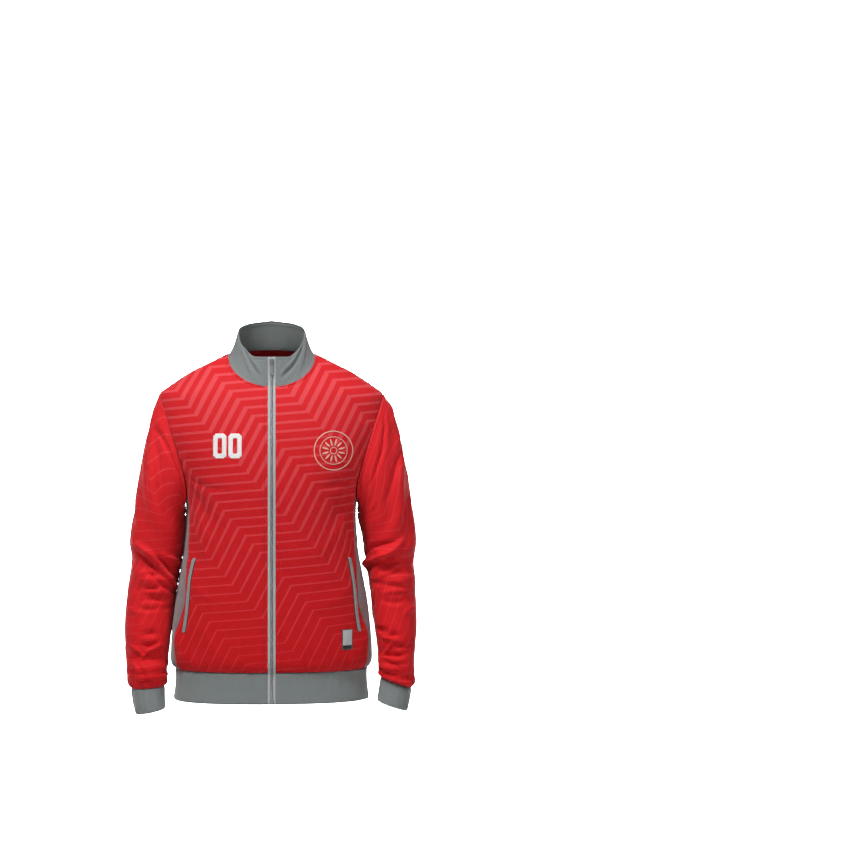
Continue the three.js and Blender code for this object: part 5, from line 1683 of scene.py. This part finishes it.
class JACKET_OT_sewing(bpy.types.Operator):
    """Sews the rows of stitches"""

    bl_idname = "jacket.sewing"
    bl_label = "Stitches"

    def execute(self, context):
        """Sets stitches along the zip, neck, hem, sleeve ends, collar, welts and label."""
        step = context.scene.jacket_sewing.stitch_step / MM
        context.view_layer.update()
        # Twisted polyester: each stitch is a small bead that takes its own spot of light.
        threads = {
            "red": grained("Red thread", "#AE171F", "#8E1016", 0.6, 0.4, 0.05),
            "grey": grained("Grey thread", "#9DA2A2", "#868B8B", 0.6, 0.4, 0.05),
        }
        hem_z = BAND_TOP_Z + 6.5
        for colour, thread in threads.items():
            lines = []
            for name, side in SIDES.items():
                side_lines = self.red_lines if colour == "red" else self.grey_lines
                lines += side_lines(name, side, hem_z)
            if colour == "grey":
                lines += self.label_lines()
            grain = bead("one_stitch", np.array([0.38, 1.15, 0.3]))
            obj = repeat_along(f"stitches_{colour}", lines, grain, step, thread)
            remove_object(grain)
            cloth_piece(obj, [])
        return {"FINISHED"}

    def red_lines(self, name, side, hem_z):
        """The rows on the red cloth of one side: zip, neck, hem and sleeve end."""
        front, lines = f"cloth_front_{name}", []
        z = np.arange(hem_z, -NECK_FRONT_DROP - 6, 4.0)
        turn = turn_at(BODY_SECTIONS, ZIP_HALF_GAP + 6.4, z)
        lines.append(sewn_line(front, body_point, side * turn, z))
        for cloth, back in ((front, False), ("cloth_back", True)):
            turn, z = neck_row(back, 6.4)
            lines.append(sewn_line(cloth, body_point, side * turn, z))
        level = np.full(90, hem_z)
        seam_front, seam_back = (side_seam_turn(np.float64(hem_z), back) for back in (False, True))
        start = float(turn_at(BODY_SECTIONS, ZIP_HALF_GAP + 6.4, hem_z))
        lines.append(sewn_line(front, body_point, side * np.linspace(start, seam_front - 0.015, 90), level))
        turn = side * np.linspace(seam_back + 0.015, np.pi, 90)
        lines.append(sewn_line("cloth_back", body_point, turn, level))
        sleeve = Sleeve(name, bpy.context.scene.jacket_cloth.creases)
        round_, down = np.linspace(-0.5, 0.5, 120), np.full(120, sleeve.length - 6.5)
        core = sleeve.point(round_, down).mean(0)
        lines.append(sewn_line(f"cloth_sleeve_{name}", sleeve.point, round_, down, core=core))
        return lines

    def grey_lines(self, name, side, hem_z):
        """The rows on the grey pieces of one side: hem, collar and welt."""
        seam_front, seam_back = (side_seam_turn(np.float64(hem_z), back) for back in (False, True))
        turn = side * np.linspace(seam_front + 0.015, seam_back - 0.015, 50)
        lines = [sewn_line(f"cloth_side_{name}", body_point, turn, np.full(50, hem_z))]
        on_side = lambda part, up: collar_point(side, part, up)
        edge = NECK_START / 2 + 5.5 / COLLAR_LENGTH
        part, up = np.linspace(edge, 0.999, 120), np.linspace(0.08, 0.9, 24)
        lines.append(sewn_line("cloth_collar", on_side, part, np.full(120, 0.9), (0.001, 0.01)))
        lines.append(sewn_line("cloth_collar", on_side, np.full(24, edge), up, (0.001, 0.01)))
        way = np.linspace(0.02, 0.98, 60)
        x, z = along(WELT_LINE, "down", "x", way), along(WELT_LINE, "down", "z", way)
        on_welt = lambda a, b: on_front(side, a, b)
        for off in (-1.9, 1.9):
            lines.append(sewn_line(f"sewn_welt_{name}", on_welt, x + off, z - 0.27 * off, (1, 1)))
        return lines

    def label_lines(self):
        """The row round the hem label."""
        w, h = LABEL_HALF_WIDTH - 1.3, LABEL_HALF_HEIGHT - 1.3
        frame_of = (((-w, -h), (w, -h)), ((w, -h), (w, h)), ((w, h), (-w, h)), ((-w, h), (-w, -h)))
        lines = []
        for (x0, z0), (x1, z1) in frame_of:
            x, z = LABEL_X + np.linspace(x0, x1, 12), LABEL_Z + np.linspace(z0, z1, 12)
            lines.append(sewn_line("woven_label", lambda a, b: on_front(1, a, b), x, z, (1, 1)))
        return lines


# How each cloth piece was cut: width, length and flat area in metres, and the prints and trims on it
CUTS = {
    "cloth_front_left": ((0.26, 0.60), 0.1185, ("print_crest",)),
    "cloth_front_right": ((0.26, 0.60), 0.1185, ("print_chest_number",)),
    "cloth_back": ((0.48, 0.69), 0.2528, ("print_back_number",)),
    "cloth_side_left": ((0.12, 0.36), 0.0378, ()),
    "cloth_side_right": ((0.12, 0.36), 0.0378, ()),
    "cloth_sleeve_left": ((0.42, 0.58), 0.163, ()),
    "cloth_sleeve_right": ((0.42, 0.58), 0.163, ()),
    "cloth_cuff_left": ((0.21, 0.055), 0.0115, ()),
    "cloth_cuff_right": ((0.21, 0.055), 0.0115, ()),
    "cloth_band": ((1.02, 0.059), 0.0601, ()),
    "cloth_collar": ((0.45, 0.075), 0.0241, ()),
    "sewn_welt_left": ((0.0105, 0.152), 0.0015, ()),
    "sewn_welt_right": ((0.0105, 0.152), 0.0015, ()),
    "woven_label": ((0.0204, 0.039), 0.0008, ()),
    "woven_tape_left": ((0.0075, 0.662), 0.0049, ()),
    "woven_tape_right": ((0.0075, 0.662), 0.0049, ()),
}


class JACKET_OT_declare(bpy.types.Operator):
    """Looks up each cut cloth piece and the prints and trims on it"""

    bl_idname = "jacket.declare"
    bl_label = "State the cut"

    def execute(self, context):
        """Makes sure every cut piece of cloth and its prints and trims are made."""
        for name, (flat, area, pieces) in CUTS.items():
            flat = tuple(max(side, 0.0101) for side in flat)
            share = area / (flat[0] * flat[1])
            made(name)
            area if 0.3 <= share <= 1 else None
            [made(piece) for piece in pieces]
        return {"FINISHED"}


def area_light(name, place, target, size, power, colour=(1, 1, 1)):
    """A soft light that faces a point."""
    light = bpy.data.lights.new(name, "AREA")
    light.shape = "RECTANGLE"
    light.size, light.size_y = size
    light.energy = power
    light.color = colour
    obj = bpy.data.objects.new(name, light)
    bpy.context.collection.objects.link(obj)
    obj.location = place
    obj.rotation_euler = (Vector(target) - Vector(place)).to_track_quat("-Z", "Y").to_euler()
    return obj


class JACKET_OT_stage(bpy.types.Operator):
    """Makes the pale backdrop, the lights and the camera"""

    bl_idname = "jacket.stage"
    bl_label = "Stage"

    def execute(self, context):
        """Sets the studio round the jacket."""
        settings = context.scene.jacket_stage
        profile = [(-7, -1.5), (5.0, -1.5)]
        profile += [(5.0 + 1.5 * math.sin(a), 0 - 1.5 * math.cos(a)) for a in np.linspace(0.1, np.pi / 2, 16)]
        profile += [(6.5, 3.5)]
        points = [(x * 1000, y * 1000, z * 1000) for y, z in profile for x in (-5, 5)]
        faces = [(2 * i, 2 * i + 1, 2 * i + 3, 2 * i + 2) for i in range(len(profile) - 1)]
        # Matt paper: bright and even, with a faint tooth.
        paper = grained("White studio paper", "#F3F3F3", "#F1F1F1", 0.9, 3, 0.02)
        floor = new_object("studio_backdrop", np.array(points), faces, materials=[paper])
        floor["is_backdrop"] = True
        target = (0, 0, -0.3)
        area_light("key", (-1.1, -1.7, 3.0), target, (0.6, 0.6), settings.key)
        area_light("second_key", (1.6, -1.8, 2.6), target, (0.6, 0.6), settings.key * 0.3)
        area_light("front", (0, -4.4, 0.4), target, (2.0, 2.0), settings.key * 0.1)
        for x in (-3.2, 3.2):
            light = area_light("backdrop_light", (x, 2.6, 0.6), (x * 0.1, 6.5, 0), (0.6, 2.4), settings.back)
            light.data.spread = math.radians(110)
        world = bpy.data.worlds.new("Soft studio")
        world.use_nodes = True
        background = world.node_tree.nodes["Background"]
        background.inputs[0].default_value = (1, 1, 1, 1)
        background.inputs[1].default_value = settings.world
        context.scene.world = world
        camera = bpy.data.objects.new("camera", bpy.data.cameras.new("camera"))
        bpy.context.collection.objects.link(camera)
        camera.data.lens = settings.lens
        camera.data.sensor_width = 36
        camera.location = (0, -settings.distance, settings.height)
        camera.rotation_euler = (math.pi / 2, 0, -settings.pan)
        camera.data.clip_end = 50
        context.scene.camera = camera
        context.scene.view_settings.view_transform = "Standard"
        return {"FINISHED"}


class JACKET_PT_panel(bpy.types.Panel):
    """The jacket's steps and settings"""

    bl_idname = "JACKET_PT_panel"
    bl_label = "Track jacket"
    bl_space_type = "VIEW_3D"
    bl_region_type = "UI"
    bl_category = "Jacket"

    def draw(self, context):
        """Lists the settings and the steps."""
        for group in (JacketCloth, JacketStripes, JacketSewing, JacketStage):
            settings = getattr(context.scene, GROUPS[group])
            box = self.layout.box()
            for name in group.__annotations__:
                box.prop(settings, name)
        for operator in OPERATORS:
            self.layout.operator(operator.bl_idname)


GROUPS = {
    JacketCloth: "jacket_cloth",
    JacketStripes: "jacket_stripes",
    JacketSewing: "jacket_sewing",
    JacketStage: "jacket_stage",
}
OPERATORS = [
    JACKET_OT_body,
    JACKET_OT_sleeves,
    JACKET_OT_ribs,
    JACKET_OT_zip,
    JACKET_OT_trims,
    JACKET_OT_prints,
    JACKET_OT_sewing,
    JACKET_OT_declare,
    JACKET_OT_stage,
]


def register():
    """Adds the settings, the steps and the panel to Blender."""
    for group, name in GROUPS.items():
        bpy.utils.register_class(group)
        setattr(bpy.types.Scene, name, bpy.props.PointerProperty(type=group))
    for cls in [*OPERATORS, JACKET_PT_panel]:
        bpy.utils.register_class(cls)


def unregister():
    """Takes them out again."""
    for cls in [JACKET_PT_panel, *reversed(OPERATORS)]:
        bpy.utils.unregister_class(cls)
    for group, name in GROUPS.items():
        delattr(bpy.types.Scene, name)
        bpy.utils.unregister_class(group)


def main():
    """Dresses the jacket and sets the stage."""
    cad_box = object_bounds()
    register()
    for operator in OPERATORS:
        group, name = operator.bl_idname.split(".")
        getattr(getattr(bpy.ops, group), name)()
    sizes = {"cad": cad_box, "dressed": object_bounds()}
    {name: [list(corner) for corner in box] for name, box in sizes.items()}


if __name__ == "__main__":
    main()
